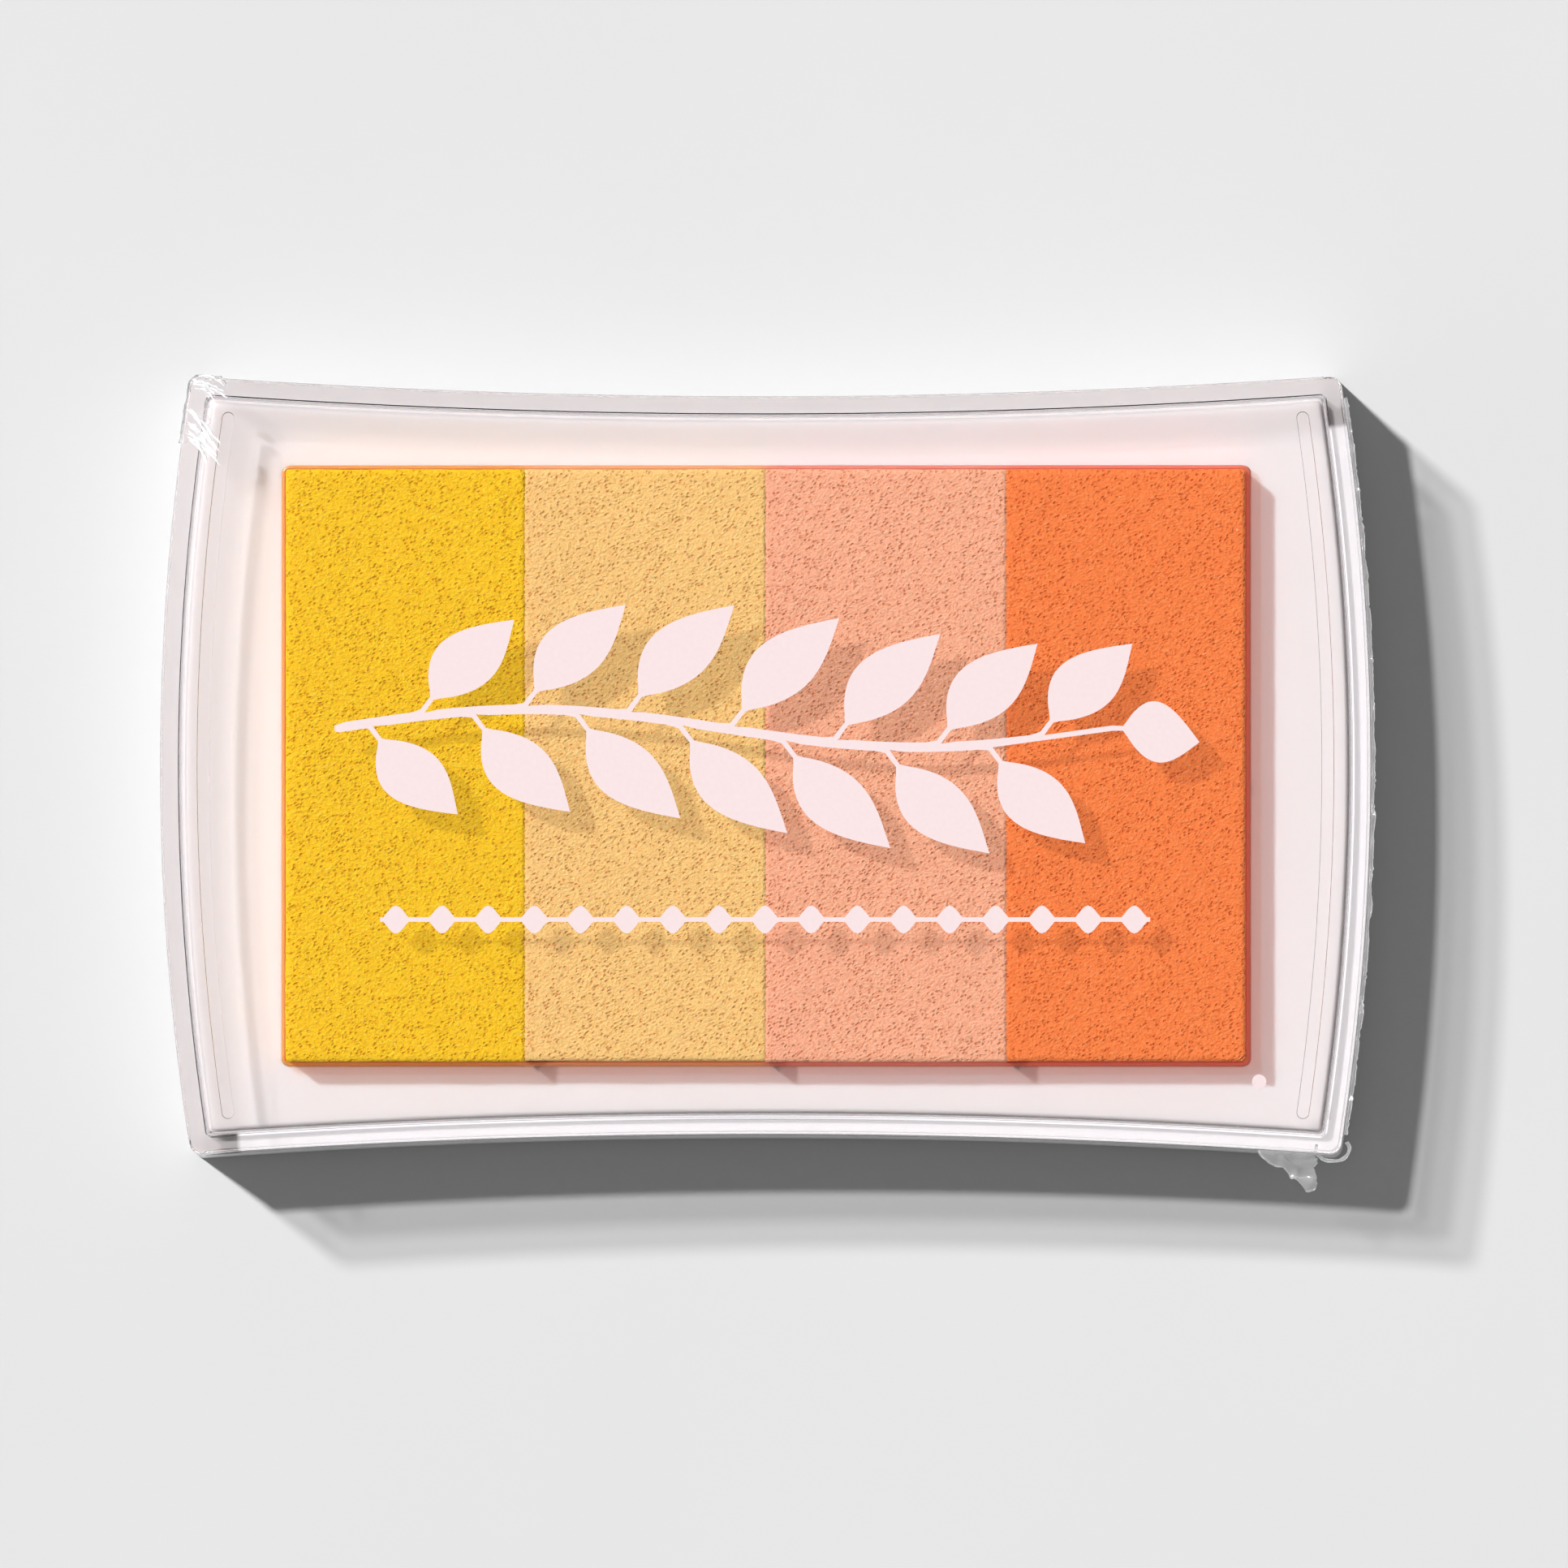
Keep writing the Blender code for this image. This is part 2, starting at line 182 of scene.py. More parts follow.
def add_node(tree, kind, **values):
    """A shader node with its sockets set by name."""
    made = tree.nodes.new(kind)
    for name, value in values.items():
        made.inputs[name.replace("_", " ")].default_value = value
    return made


def combined(tree, operation, first, second):
    """A Math node's result; first and second are sockets or plain numbers."""
    made = tree.nodes.new("ShaderNodeMath")
    made.operation = operation
    for socket, value in zip(made.inputs, (first, second)):
        if isinstance(value, float):
            socket.default_value = value
        else:
            tree.links.new(value, socket)
    return made.outputs[0]


def mixed(tree, factor, first, second):
    """A Mix node's colour between two; first and second are sockets or (r, g, b)."""
    mix = tree.nodes.new("ShaderNodeMix")
    mix.data_type = "RGBA"
    tree.links.new(factor, mix.inputs["Factor"])
    for name, value in (("A", first), ("B", second)):
        if isinstance(value, tuple):
            mix.inputs[name].default_value = (*value, 1)
        else:
            tree.links.new(value, mix.inputs[name])
    return mix.outputs["Result"]


def two_tone(tree, factor, low, high):
    """A colour that runs from low to high with factor."""
    ramp = tree.nodes.new("ShaderNodeValToRGB")
    for element, colour in zip(ramp.color_ramp.elements, (low, high)):
        element.color = (*colour, 1)
    tree.links.new(factor, ramp.inputs["Fac"])
    return ramp.outputs["Color"]


def new_group(name, inputs, outputs):
    """An empty shader node group with its sockets, given as {name: (socket type, default)}."""
    group = bpy.data.node_groups.new(name, "ShaderNodeTree")
    for socket, (kind, value) in inputs.items():
        made = group.interface.new_socket(socket, in_out="INPUT", socket_type=kind)
        made.default_value = value
    for socket, kind in outputs.items():
        group.interface.new_socket(socket, in_out="OUTPUT", socket_type=kind)
    return group, group.nodes.new("NodeGroupInput"), group.nodes.new("NodeGroupOutput")


def moulding_skin_group():
    """What any moulded face shows close up: faint flow mottling, soft waviness and a few dust specks."""
    group, given, made = new_group(
        "moulding skin",
        {
            "Clean Colour": ("NodeSocketColor", (0.8, 0.8, 0.8, 1)),
            "Dust Colour": ("NodeSocketColor", (0.4, 0.38, 0.36, 1)),
            "Dust": ("NodeSocketFloat", 1.0),
            "Base Roughness": ("NodeSocketFloat", 0.3),
        },
        {"Colour": "NodeSocketColor", "Roughness": "NodeSocketFloat", "Height": "NodeSocketFloat"},
    )
    link = group.links.new
    place = add_node(group, "ShaderNodeTexCoord").outputs["Object"]
    flow = add_node(group, "ShaderNodeTexNoise", Scale=180.0, Detail=2.0)
    specks = add_node(group, "ShaderNodeTexVoronoi", Scale=260.0, Randomness=1.0)
    rare = add_node(group, "ShaderNodeMapRange", From_Min=0.91, From_Max=0.93)
    spot = add_node(group, "ShaderNodeMapRange", From_Min=0.05, From_Max=0.02)
    link(place, flow.inputs["Vector"])
    link(place, specks.inputs["Vector"])
    link(specks.outputs["Color"], rare.inputs["Value"])
    link(specks.outputs["Distance"], spot.inputs["Value"])
    dust = combined(group, "MULTIPLY", rare.outputs[0], spot.outputs[0])
    amount = combined(group, "MULTIPLY", dust, given.outputs["Dust"])
    colour = mixed(group, amount, given.outputs["Clean Colour"], given.outputs["Dust Colour"])
    link(colour, made.inputs["Colour"])
    sway = add_node(group, "ShaderNodeMapRange", To_Min=-0.05, To_Max=0.05)
    link(flow.outputs["Fac"], sway.inputs["Value"])
    rough = combined(group, "ADD", sway.outputs[0], given.outputs["Base Roughness"])
    link(rough, made.inputs["Roughness"])
    link(flow.outputs["Fac"], made.inputs["Height"])
    return group


MOULDING_SKIN = moulding_skin_group()


def new_material(name):
    material = bpy.data.materials.new(name)
    material.use_nodes = True
    return material, material.node_tree, material.node_tree.nodes["Principled BSDF"]


def use_bump(tree, shader, height, distance):
    bump = add_node(tree, "ShaderNodeBump", Strength=1.0, Distance=distance)
    tree.links.new(height, bump.inputs["Height"])
    tree.links.new(bump.outputs["Normal"], shader.inputs["Normal"])


def white_styrene(name, colour, roughness, glow, glow_reach):
    """White styrene: light sinks in, and comes out again up to glow_reach beside where it went in."""
    material, tree, shader = new_material(name)
    skin = tree.nodes.new("ShaderNodeGroup")
    skin.node_tree = MOULDING_SKIN
    skin.inputs["Clean Colour"].default_value = (*colour, 1)
    skin.inputs["Base Roughness"].default_value = roughness
    tree.links.new(skin.outputs["Colour"], shader.inputs["Base Color"])
    tree.links.new(skin.outputs["Roughness"], shader.inputs["Roughness"])
    use_bump(tree, shader, skin.outputs["Height"], 0.01 * MM)
    shader.inputs["IOR"].default_value = 1.55
    shader.inputs["Subsurface Weight"].default_value = glow
    shader.inputs["Subsurface Radius"].default_value = (1.0, 0.85, 0.8)
    shader.inputs["Subsurface Scale"].default_value = glow_reach
    return material


def set_material(piece, material):
    piece.data.materials.clear()
    piece.data.materials.append(material)


TRAY_WHITE = white_styrene("white tray styrene", (0.74, 0.73, 0.73), 0.32, 0.4, 1.5 * MM)


def make_base_tray():
    foot, seam, edge = FOOT_FLARE, SEAM_FLARE, SEAM_EDGE
    top = TRAY_HIGH.z
    section = [(-MIDDLE_INSET, MIDDLE_CORNER, 0)]
    section += [(foot - 2 * edge, CASE_CORNER, 0), (foot - edge, CASE_CORNER, 0)]
    section += fillet(foot - edge, 0, foot, edge, CASE_CORNER, bulge_out=False)
    section += [(foot, CASE_CORNER, edge), (seam, CASE_CORNER, top - edge)]
    section += fillet(seam, top - edge, seam - edge, top, CASE_CORNER)
    section += [(seam - edge, CASE_CORNER, top), (seam - SHELL, INNER_CORNER, top)]
    section += [(foot - SHELL, INNER_CORNER, TRAY_FLOOR), (-MIDDLE_INSET, MIDDLE_CORNER, TRAY_FLOOR)]
    tray = moulding("tray_shell", section)
    size = LABEL_HIGH - LABEL_LOW
    recess = rounded_rectangle(size.x + 2 * LABEL_MARGIN, size.y + 2 * LABEL_MARGIN, LABEL_CORNER)
    cutter = closed_skin("recess", [level(recess, -MM), level(recess, LABEL_RECESS)])
    apply_boolean(tray, cutter, "DIFFERENCE")
    set_material(tray, TRAY_WHITE)
    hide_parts("base_tray")
    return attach(tray, "base")


make_base_tray()

# ---------------------------------------------------------------------------------------------
# Underside label: a blank self-adhesive paper label in a shallow recess of the tray's bottom.
# ---------------------------------------------------------------------------------------------


def label_paper():
    material, tree, shader = new_material("blank label paper")
    place = tree.nodes.new("ShaderNodeTexCoord").outputs["Object"]
    fibres = add_node(tree, "ShaderNodeTexNoise", Scale=2600.0, Detail=4.0)
    tree.links.new(place, fibres.inputs["Vector"])
    tint = two_tone(tree, fibres.outputs["Fac"], (0.84, 0.84, 0.81), (0.92, 0.92, 0.90))
    tree.links.new(tint, shader.inputs["Base Color"])
    shader.inputs["Roughness"].default_value = 0.7
    use_bump(tree, shader, fibres.outputs["Fac"], 0.02 * MM)
    return material


set_material(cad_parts["underside_label"], label_paper())

# ---------------------------------------------------------------------------------------------
# Deck: the upper white moulding, pressed into the tray. The lid stands on its shoulder, its
# raised top runs round the pad, and a pocket in its middle takes the pad's cup.
# ---------------------------------------------------------------------------------------------

CUP_LOW, CUP_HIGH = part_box("pad_cup")
DECK_INSET = 1.50 * MM
DECK_EDGE = 0.35 * MM
SHOULDER = 9.6 * MM
RIM_DROP = 2.5 * MM
RIM_GAP = 0.1 * MM
RIM_WALL = 1.6 * MM
POCKET_GAP = 0.05 * MM
POCKET_FLOOR = 8.6 * MM
CUP_CORNER = 0.75 * MM
SUPPORT_LENGTH = 68.0 * MM
SUPPORT_WALL = 1.2 * MM
SUPPORT_PITCH = 18.0 * MM

DECK_WHITE = white_styrene("white deck styrene", (0.815, 0.78, 0.77), 0.38, 0.6, 1.3 * MM)


def bar(name, low, high):
    """A plain bar used as a cutting or joining tool."""
    corners = [(low[0], low[1]), (high[0], low[1]), (high[0], high[1]), (low[0], high[1])]
    return closed_skin(name, [level(corners, low[2]), level(corners, high[2])])


def make_deck():
    underside = DECK_HIGH.z - SHELL
    seam, edge, raised = SEAM_FLARE, SEAM_EDGE, -DECK_INSET
    lip = TRAY_HIGH.z + RIM_GAP
    rim = seam - SHELL - RIM_GAP
    section = [(-MIDDLE_INSET, MIDDLE_CORNER, underside), (rim - RIM_WALL, INNER_CORNER, underside)]
    section += [(rim - RIM_WALL, INNER_CORNER, lip - RIM_DROP), (rim, INNER_CORNER, lip - RIM_DROP)]
    section += [(rim, INNER_CORNER, lip), (seam - edge, CASE_CORNER, lip)]
    section += fillet(seam - edge, lip, seam, lip + edge, CASE_CORNER, bulge_out=False)
    section += [(seam, CASE_CORNER, lip + edge), (seam, CASE_CORNER, SHOULDER - edge)]
    section += fillet(seam, SHOULDER - edge, seam - edge, SHOULDER, CASE_CORNER)
    section += [(seam - edge, CASE_CORNER, SHOULDER), (raised + edge, INNER_CORNER, SHOULDER)]
    section += fillet(raised + edge, SHOULDER, raised, SHOULDER + edge, INNER_CORNER, bulge_out=False)
    section += [(raised, INNER_CORNER, SHOULDER + edge), (raised, INNER_CORNER, DECK_HIGH.z - DECK_EDGE)]
    section += fillet(raised, DECK_HIGH.z - DECK_EDGE, raised - DECK_EDGE, DECK_HIGH.z, INNER_CORNER)
    section += [(raised - DECK_EDGE, INNER_CORNER, DECK_HIGH.z)]
    section += [(raised - 2 * DECK_EDGE, INNER_CORNER, DECK_HIGH.z)]
    section += [(-MIDDLE_INSET, MIDDLE_CORNER, DECK_HIGH.z)]
    deck = moulding("deck_plate", section)
    cup = CUP_HIGH - CUP_LOW
    tub_foot = POCKET_FLOOR - TRAY_FLOOR
    tub = rounded_rectangle(cup.x + 2 * SHELL, cup.y + 2 * SHELL, CUP_CORNER)
    tub_block = closed_skin("tub", [level(tub, tub_foot), level(tub, underside + BITE)])
    apply_boolean(deck, tub_block, "UNION")
    for place in (-1, 0, 1):
        y = place * SUPPORT_PITCH
        low = (-SUPPORT_LENGTH / 2, y - SUPPORT_WALL / 2, TRAY_FLOOR + RIM_GAP)
        high = (SUPPORT_LENGTH / 2, y + SUPPORT_WALL / 2, tub_foot + BITE)
        apply_boolean(deck, bar("support", low, high), "UNION")
    pocket = rounded_rectangle(cup.x + 2 * POCKET_GAP, cup.y + 2 * POCKET_GAP, CUP_CORNER)
    cutter = closed_skin("pocket", [level(pocket, POCKET_FLOOR), level(pocket, DECK_HIGH.z + MM)])
    apply_boolean(deck, cutter, "DIFFERENCE")
    set_material(deck, DECK_WHITE)
    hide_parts("deck")
    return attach(deck, "base")


make_deck()

# ---------------------------------------------------------------------------------------------
# Adhesive sheets and divider films: clear double-sided sheets under the cup and each strip, and
# thin clear films standing between the strips so that their inks stay apart. All sit out of sight.
# ---------------------------------------------------------------------------------------------


def clear_film(name, colour, roughness):
    """A thin clear film with a faint crinkle."""
    material, tree, shader = new_material(name)
    place = tree.nodes.new("ShaderNodeTexCoord").outputs["Object"]
    crinkle = add_node(tree, "ShaderNodeTexNoise", Scale=400.0, Detail=3.0)
    tree.links.new(place, crinkle.inputs["Vector"])
    use_bump(tree, shader, crinkle.outputs["Fac"], 0.02 * MM)
    shader.inputs["Base Color"].default_value = (*colour, 1)
    shader.inputs["Roughness"].default_value = roughness
    shader.inputs["Alpha"].default_value = 0.45
    return material


ADHESIVE = clear_film("clear adhesive sheet", (0.88, 0.86, 0.80), 0.25)
DIVIDER = clear_film("clear divider film", (0.92, 0.92, 0.94), 0.12)
for node in [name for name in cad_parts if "adhesive" in name]:
    set_material(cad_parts[node], ADHESIVE)
for node in [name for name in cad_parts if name.startswith("divider")]:
    set_material(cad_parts[node], DIVIDER)

# ---------------------------------------------------------------------------------------------
# Pad cup: a thin tray of natural plastic that the strips are glued into. Its rim shows as a narrow band,
# painted darker and redder than the foam beside it: painted bounce light from the foam and painted shade in
# the gap.
# ---------------------------------------------------------------------------------------------

CUP_WALL = 0.35 * MM
CUP_FLOOR = 0.5 * MM
CUP_EDGE = 0.1 * MM
PAINTED_BOUNCE_BLEND = 0.012
# Painted bounce light and shade: the rim's tone for each ink, darker and redder than its foam.
CUP_PAINTED_BOUNCE = ((0.62, 0.27, 0.062), (0.66, 0.32, 0.14), (0.62, 0.21, 0.15), (0.62, 0.16, 0.10))
STRIP_NAMES = ("yellow", "apricot", "peach", "orange")


def let_light_through(tree, shader, through, kinds=("Is Diffuse Ray", "Is Shadow Ray")):
    """Rays of these kinds, which carry the lamps' light, go straight on and take the colour of through."""
    path = tree.nodes.new("ShaderNodeLightPath")
    last = shader.outputs["BSDF"]
    for kind in kinds:
        choose = tree.nodes.new("ShaderNodeMixShader")
        tree.links.new(path.outputs[kind], choose.inputs["Fac"])
        tree.links.new(last, choose.inputs[1])
        tree.links.new(through.outputs["BSDF"], choose.inputs[2])
        last = choose.outputs[0]
    tree.links.new(last, tree.nodes["Material Output"].inputs["Surface"])


def soak_light(tree, shader, colour):
    """A little of the lamps' light soaks through, tinted, so that shadows close by are soft and warm."""
    through = tree.nodes.new("ShaderNodeBsdfTransparent")
    through.inputs["Color"].default_value = (*colour, 1)
    let_light_through(tree, shader, through, ("Is Shadow Ray",))


def bounce_shaded_cup():
    """The painted bounce and shade follow the four inks along the cup, and blend where two of them meet."""
    material, tree, shader = new_material("cup plastic with painted bounce and shade")
    link = tree.links.new
    place = tree.nodes.new("ShaderNodeTexCoord").outputs["Object"]
    split = tree.nodes.new("ShaderNodeSeparateXYZ")
    link(place, split.inputs[0])
    along = add_node(tree, "ShaderNodeMapRange", From_Min=CUP_LOW.x, From_Max=CUP_HIGH.x)
    link(split.outputs["X"], along.inputs["Value"])
    painted_bounce = tree.nodes.new("ShaderNodeValToRGB")
    ramp = painted_bounce.color_ramp
    blend = PAINTED_BOUNCE_BLEND
    ramp.elements[0].position = 0.25 - blend
    ramp.elements[0].color = (*CUP_PAINTED_BOUNCE[0], 1)
    ramp.elements[1].position = 0.75 + blend
    ramp.elements[1].color = (*CUP_PAINTED_BOUNCE[3], 1)
    for edge, colour in ((0.25 + blend, 1), (0.5 - blend, 1), (0.5 + blend, 2), (0.75 - blend, 2)):
        ramp.elements.new(edge).color = (*CUP_PAINTED_BOUNCE[colour], 1)
    link(along.outputs[0], painted_bounce.inputs["Fac"])
    link(painted_bounce.outputs["Color"], shader.inputs["Base Color"])
    shader.inputs["Roughness"].default_value = 0.3
    shader.inputs["Subsurface Weight"].default_value = 0.5
    shader.inputs["Subsurface Radius"].default_value = (1.0, 0.5, 0.3)
    shader.inputs["Subsurface Scale"].default_value = 0.8 * MM
    soak_light(tree, shader, (0.95, 0.85, 0.80))
    return material


def make_cup():
    size = CUP_HIGH - CUP_LOW

    def cup_outline(offset, corner):
        return rounded_rectangle(size.x + 2 * offset, size.y + 2 * offset, corner)

    edge = CUP_EDGE
    inner = CUP_CORNER - CUP_WALL
    section = [(0, CUP_CORNER, CUP_LOW.z), (0, CUP_CORNER, CUP_HIGH.z - edge)]
    section += fillet(0, CUP_HIGH.z - edge, -edge, CUP_HIGH.z, CUP_CORNER, steps=3)
    section += [(-edge, CUP_CORNER, CUP_HIGH.z), (-CUP_WALL + edge, inner, CUP_HIGH.z)]
    section += [(-CUP_WALL, inner, CUP_HIGH.z - edge), (-CUP_WALL, inner, CUP_LOW.z + CUP_FLOOR)]
    cup = moulding("bounce_shaded_cup", section, cup_outline)
    set_material(cup, bounce_shaded_cup())
    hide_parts("pad_cup")
    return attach(cup, "base")


make_cup()

# ---------------------------------------------------------------------------------------------
# Foam strips: four blocks of fine open foam, each soaked with one ink and cut to length by hand,
# so that their ends don't quite line up. They are glued down side by side and touch at the top.
# ---------------------------------------------------------------------------------------------

FOAM_STEP = 0.32 * MM
FOAM_ROUND = 0.25 * MM
FOAM_PITS = 0.03 * MM
FOAM_WAVE = 0.035 * MM
FOAM_TOUCH = 0.13 * MM
FOAM_INKS = {
    "yellow": (0.99, 0.60, 0.008),
    "apricot": (0.99, 0.62, 0.22),
    "peach": (0.99, 0.465, 0.285),
    "orange": (0.99, 0.24, 0.055),
}
FOAM_END_TRIM = {"yellow": 0.02, "apricot": 0.07, "peach": 0.0, "orange": 0.05}


def inked_foam_group():
    """Open foam under ink: slanting fibrous cells, painted shade in the pits and hollows, painted
    highlights on raised cells and sparse glints, and uneven ink.
    """
    group, given, made = new_group(
        "inked foam",
        {
            "Ink": ("NodeSocketColor", (1, 0.5, 0.1, 1)),
            "Painted Shade Colour": ("NodeSocketColor", (0.5, 0.2, 0.02, 1)),
            "Painted Highlight Colour": ("NodeSocketColor", (1, 0.9, 0.7, 1)),
        },
        {"Colour": "NodeSocketColor", "Roughness": "NodeSocketFloat", "Height": "NodeSocketFloat"},
    )
    link = group.links.new
    place = add_node(group, "ShaderNodeTexCoord").outputs["Object"]
    slant = add_node(group, "ShaderNodeMapping", Rotation=(0, 0, math.radians(27)), Scale=(1.4, 1, 1))
    slant.vector_type = "TEXTURE"
    link(place, slant.inputs["Vector"])
    cells = add_node(group, "ShaderNodeTexNoise", Scale=4500.0, Detail=3.0, Roughness=0.65)
    pits = add_node(group, "ShaderNodeTexVoronoi", Scale=3900.0, Randomness=1.0)
    glints = add_node(group, "ShaderNodeTexVoronoi", Scale=1500.0, Randomness=1.0)
    link(place, glints.inputs["Vector"])
    cloud = add_node(group, "ShaderNodeTexNoise", Scale=420.0, Detail=2.0)
    for texture in (cells, pits):
        link(slant.outputs[0], texture.inputs["Vector"])
    link(place, cloud.inputs["Vector"])

    def ranged(value, low, high, to_low=0.0, to_high=1.0):
        change = add_node(group, "ShaderNodeMapRange", From_Min=low, From_Max=high)
        change.inputs["To Min"].default_value = to_low
        change.inputs["To Max"].default_value = to_high
        link(value, change.inputs["Value"])
        return change.outputs[0]

    # Painted shade: the pits and the hollows between cells are darkened in the colour.
    chosen = ranged(pits.outputs["Color"], 0.15, 0.50)
    pit = combined(group, "MULTIPLY", ranged(pits.outputs["Distance"], 0.42, 0.12), chosen)
    painted_hollow_shade = ranged(cells.outputs["Fac"], 0.46, 0.28, 0.0, 0.5)
    painted_shade = combined(group, "MAXIMUM", combined(group, "MULTIPLY", pit, 0.7), painted_hollow_shade)
    base = mixed(group, painted_shade, given.outputs["Ink"], given.outputs["Painted Shade Colour"])
    # Painted highlights: sparse glints and the raised cells are lightened in the colour.
    few = ranged(glints.outputs["Color"], 0.86, 0.88)
    glint = combined(group, "MULTIPLY", ranged(glints.outputs["Distance"], 0.13, 0.07), few)
    painted_raised_light = ranged(cells.outputs["Fac"], 0.58, 0.76, 0.0, 0.35)
    pale = combined(group, "MAXIMUM", painted_raised_light, combined(group, "MULTIPLY", glint, 0.9))
    link(mixed(group, pale, base, given.outputs["Painted Highlight Colour"]), made.inputs["Colour"])
    link(ranged(cloud.outputs["Fac"], 0.3, 0.7, 0.42, 0.62), made.inputs["Roughness"])
    relief = combined(group, "SUBTRACT", cells.outputs["Fac"], combined(group, "MULTIPLY", pit, 0.6))
    sway = combined(group, "MULTIPLY", cloud.outputs["Fac"], 0.6)
    link(combined(group, "ADD", relief, sway), made.inputs["Height"])
    return group


INKED_FOAM = inked_foam_group()


def foam_material(ink):
    colour = FOAM_INKS[ink]
    material, tree, shader = new_material(f"{ink} inked foam")
    foam = tree.nodes.new("ShaderNodeGroup")
    foam.node_tree = INKED_FOAM
    foam.inputs["Ink"].default_value = (*colour, 1)
    # Darker colour for the painted shade in pits and hollows, paler colour for the painted highlights.
    foam.inputs["Painted Shade Colour"].default_value = (colour[0] * 0.82, colour[1] * 0.52, colour[2] * 0.30, 1)
    foam.inputs["Painted Highlight Colour"].default_value = (1, colour[1] * 0.5 + 0.5, colour[2] * 0.6 + 0.3, 1)
    tree.links.new(foam.outputs["Colour"], shader.inputs["Base Color"])
    tree.links.new(foam.outputs["Roughness"], shader.inputs["Roughness"])
    use_bump(tree, shader, foam.outputs["Height"], 0.21 * MM)
    shader.inputs["Specular IOR Level"].default_value = 0.15
    shader.inputs["Subsurface Weight"].default_value = 0.35
    shader.inputs["Subsurface Radius"].default_value = (1.0, 0.55, 0.35)
    shader.inputs["Subsurface Scale"].default_value = 0.9 * MM
    soak_light(tree, shader, (0.74, 0.62, 0.60))
    return material


def dense_block(low, high, step):
    """A box whose faces are split into squares of about step."""
    bm = bmesh.new()
    bmesh.ops.create_cube(bm, size=1)
    size = high - low
    for axis in range(3):
        cuts = max(1, round(size[axis] / step) - 1)
        edges = []
        for edge in bm.edges:
            run = edge.verts[1].co - edge.verts[0].co
            if abs(run[axis]) > max(abs(run[i]) for i in range(3) if i != axis):
                edges.append(edge)
        bmesh.ops.subdivide_edges(bm, edges=edges, cuts=cuts, use_grid_fill=True)
    bmesh.ops.scale(bm, vec=size, verts=bm.verts)
    bmesh.ops.translate(bm, vec=(low + high) / 2, verts=bm.verts)
    return bm


def make_foam(index, ink):
    """A block with soft outer edges, shallow cells all over, and faces that wander a little."""
    low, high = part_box(f"foam_{ink}")
    low, high = Vector(low), Vector(high)
    low.y += FOAM_END_TRIM[ink] * MM
    core_low = low + Vector((FOAM_ROUND,) * 3)
    core_high = high - Vector((FOAM_ROUND,) * 3)
    if index > 0:
        low.x -= FOAM_TOUCH
        core_low.x = low.x
    if index < len(STRIP_NAMES) - 1:
        high.x += FOAM_TOUCH
        core_high.x = high.x
    bm = dense_block(low, high, FOAM_STEP)
    for vert in bm.verts:
        point = vert.co.copy()
        core = Vector([min(max(point[i], core_low[i]), core_high[i]) for i in range(3)])
        out = (point - core).normalized()
        cell = noise.noise(Vector((point.x * 0.6, point.y, point.z)) * 1900)
        wave = noise.noise(point * 300)
        top = min(1, max(0, (point.z - low.z) / (high.z - low.z) * 3 - 1))
        vert.co = core + out * (FOAM_ROUND + top * (FOAM_PITS * cell + FOAM_WAVE * (wave - 0.3)))
    foam = add_piece(f"inked_foam_{ink}", bm)
    foam.data.set_sharp_from_angle(angle=math.pi)
    set_material(foam, foam_material(ink))
    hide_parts(f"foam_{ink}")
    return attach(foam, "base")


for index, ink in enumerate(STRIP_NAMES):
    make_foam(index, ink)

# ---------------------------------------------------------------------------------------------
# Lid: one clear styrene moulding, open below. Its wall leans out a little towards the foot so
# that it leaves the mould, and two ribs under the top stop it from bowing at the ends.
# ---------------------------------------------------------------------------------------------

LID_LOW, LID_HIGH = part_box("lid")
LID_TOP = LID_HIGH.z
LID_WALL = 1.45 * MM
LID_WALL_FOOT = 1.25 * MM
LID_PLATE = 1.4 * MM
LID_EDGE = 0.30 * MM
LID_INNER_EDGE = 0.25 * MM
LID_FOOT_EDGE = 0.08 * MM
RIB_INSET = 3.35 * MM
RIB_WIDTH = 1.0 * MM
RIB_DEPTH = 1.6 * MM
RIB_REACH = 27.95 * MM
RIB_EDGE = 0.10 * MM
# Painted glow: emission from the lid's foot at the front and the right-hand end, though the lid is no lamp.
PAINTED_FOOT_GLOW = (0.49, 0.485, 0.50)
# Painted shade: the lid's colour on its foot face is dimmed by this factor.
FOOT_PAINTED_SHADE = 0.72


def painted_foot_light(tree):
    """A mask of the wall's foot, painted darker in the lid's colour in place of the light that the long way
    down through the wall costs, and a painted glow on the foot of the front and the right-hand end, in
    place of light led down inside the wall."""
    split = tree.nodes.new("ShaderNodeSeparateXYZ")
    tree.links.new(tree.nodes.new("ShaderNodeTexCoord").outputs["Object"], split.inputs[0])

    def step(axis, low, high):
        ramp = add_node(tree, "ShaderNodeMapRange", From_Min=low * MM, From_Max=high * MM)
        tree.links.new(split.outputs[axis], ramp.inputs["Value"])
        return ramp.outputs[0]

    foot = LID_LOW.z / MM
    right = combined(tree, "MULTIPLY", step("X", 44.4, 44.8), step("Y", 27.1, 26.7))
    front = combined(tree, "MULTIPLY", step("Y", -27.7, -28.1), step("X", -42.0, -41.6))
    foot_paint_mask = step("Z", foot + 0.25, foot + 0.12)
    mask = combined(tree, "MULTIPLY", foot_paint_mask, combined(tree, "MAXIMUM", right, front))
    return foot_paint_mask, mixed(tree, mask, (0, 0, 0), PAINTED_FOOT_GLOW)


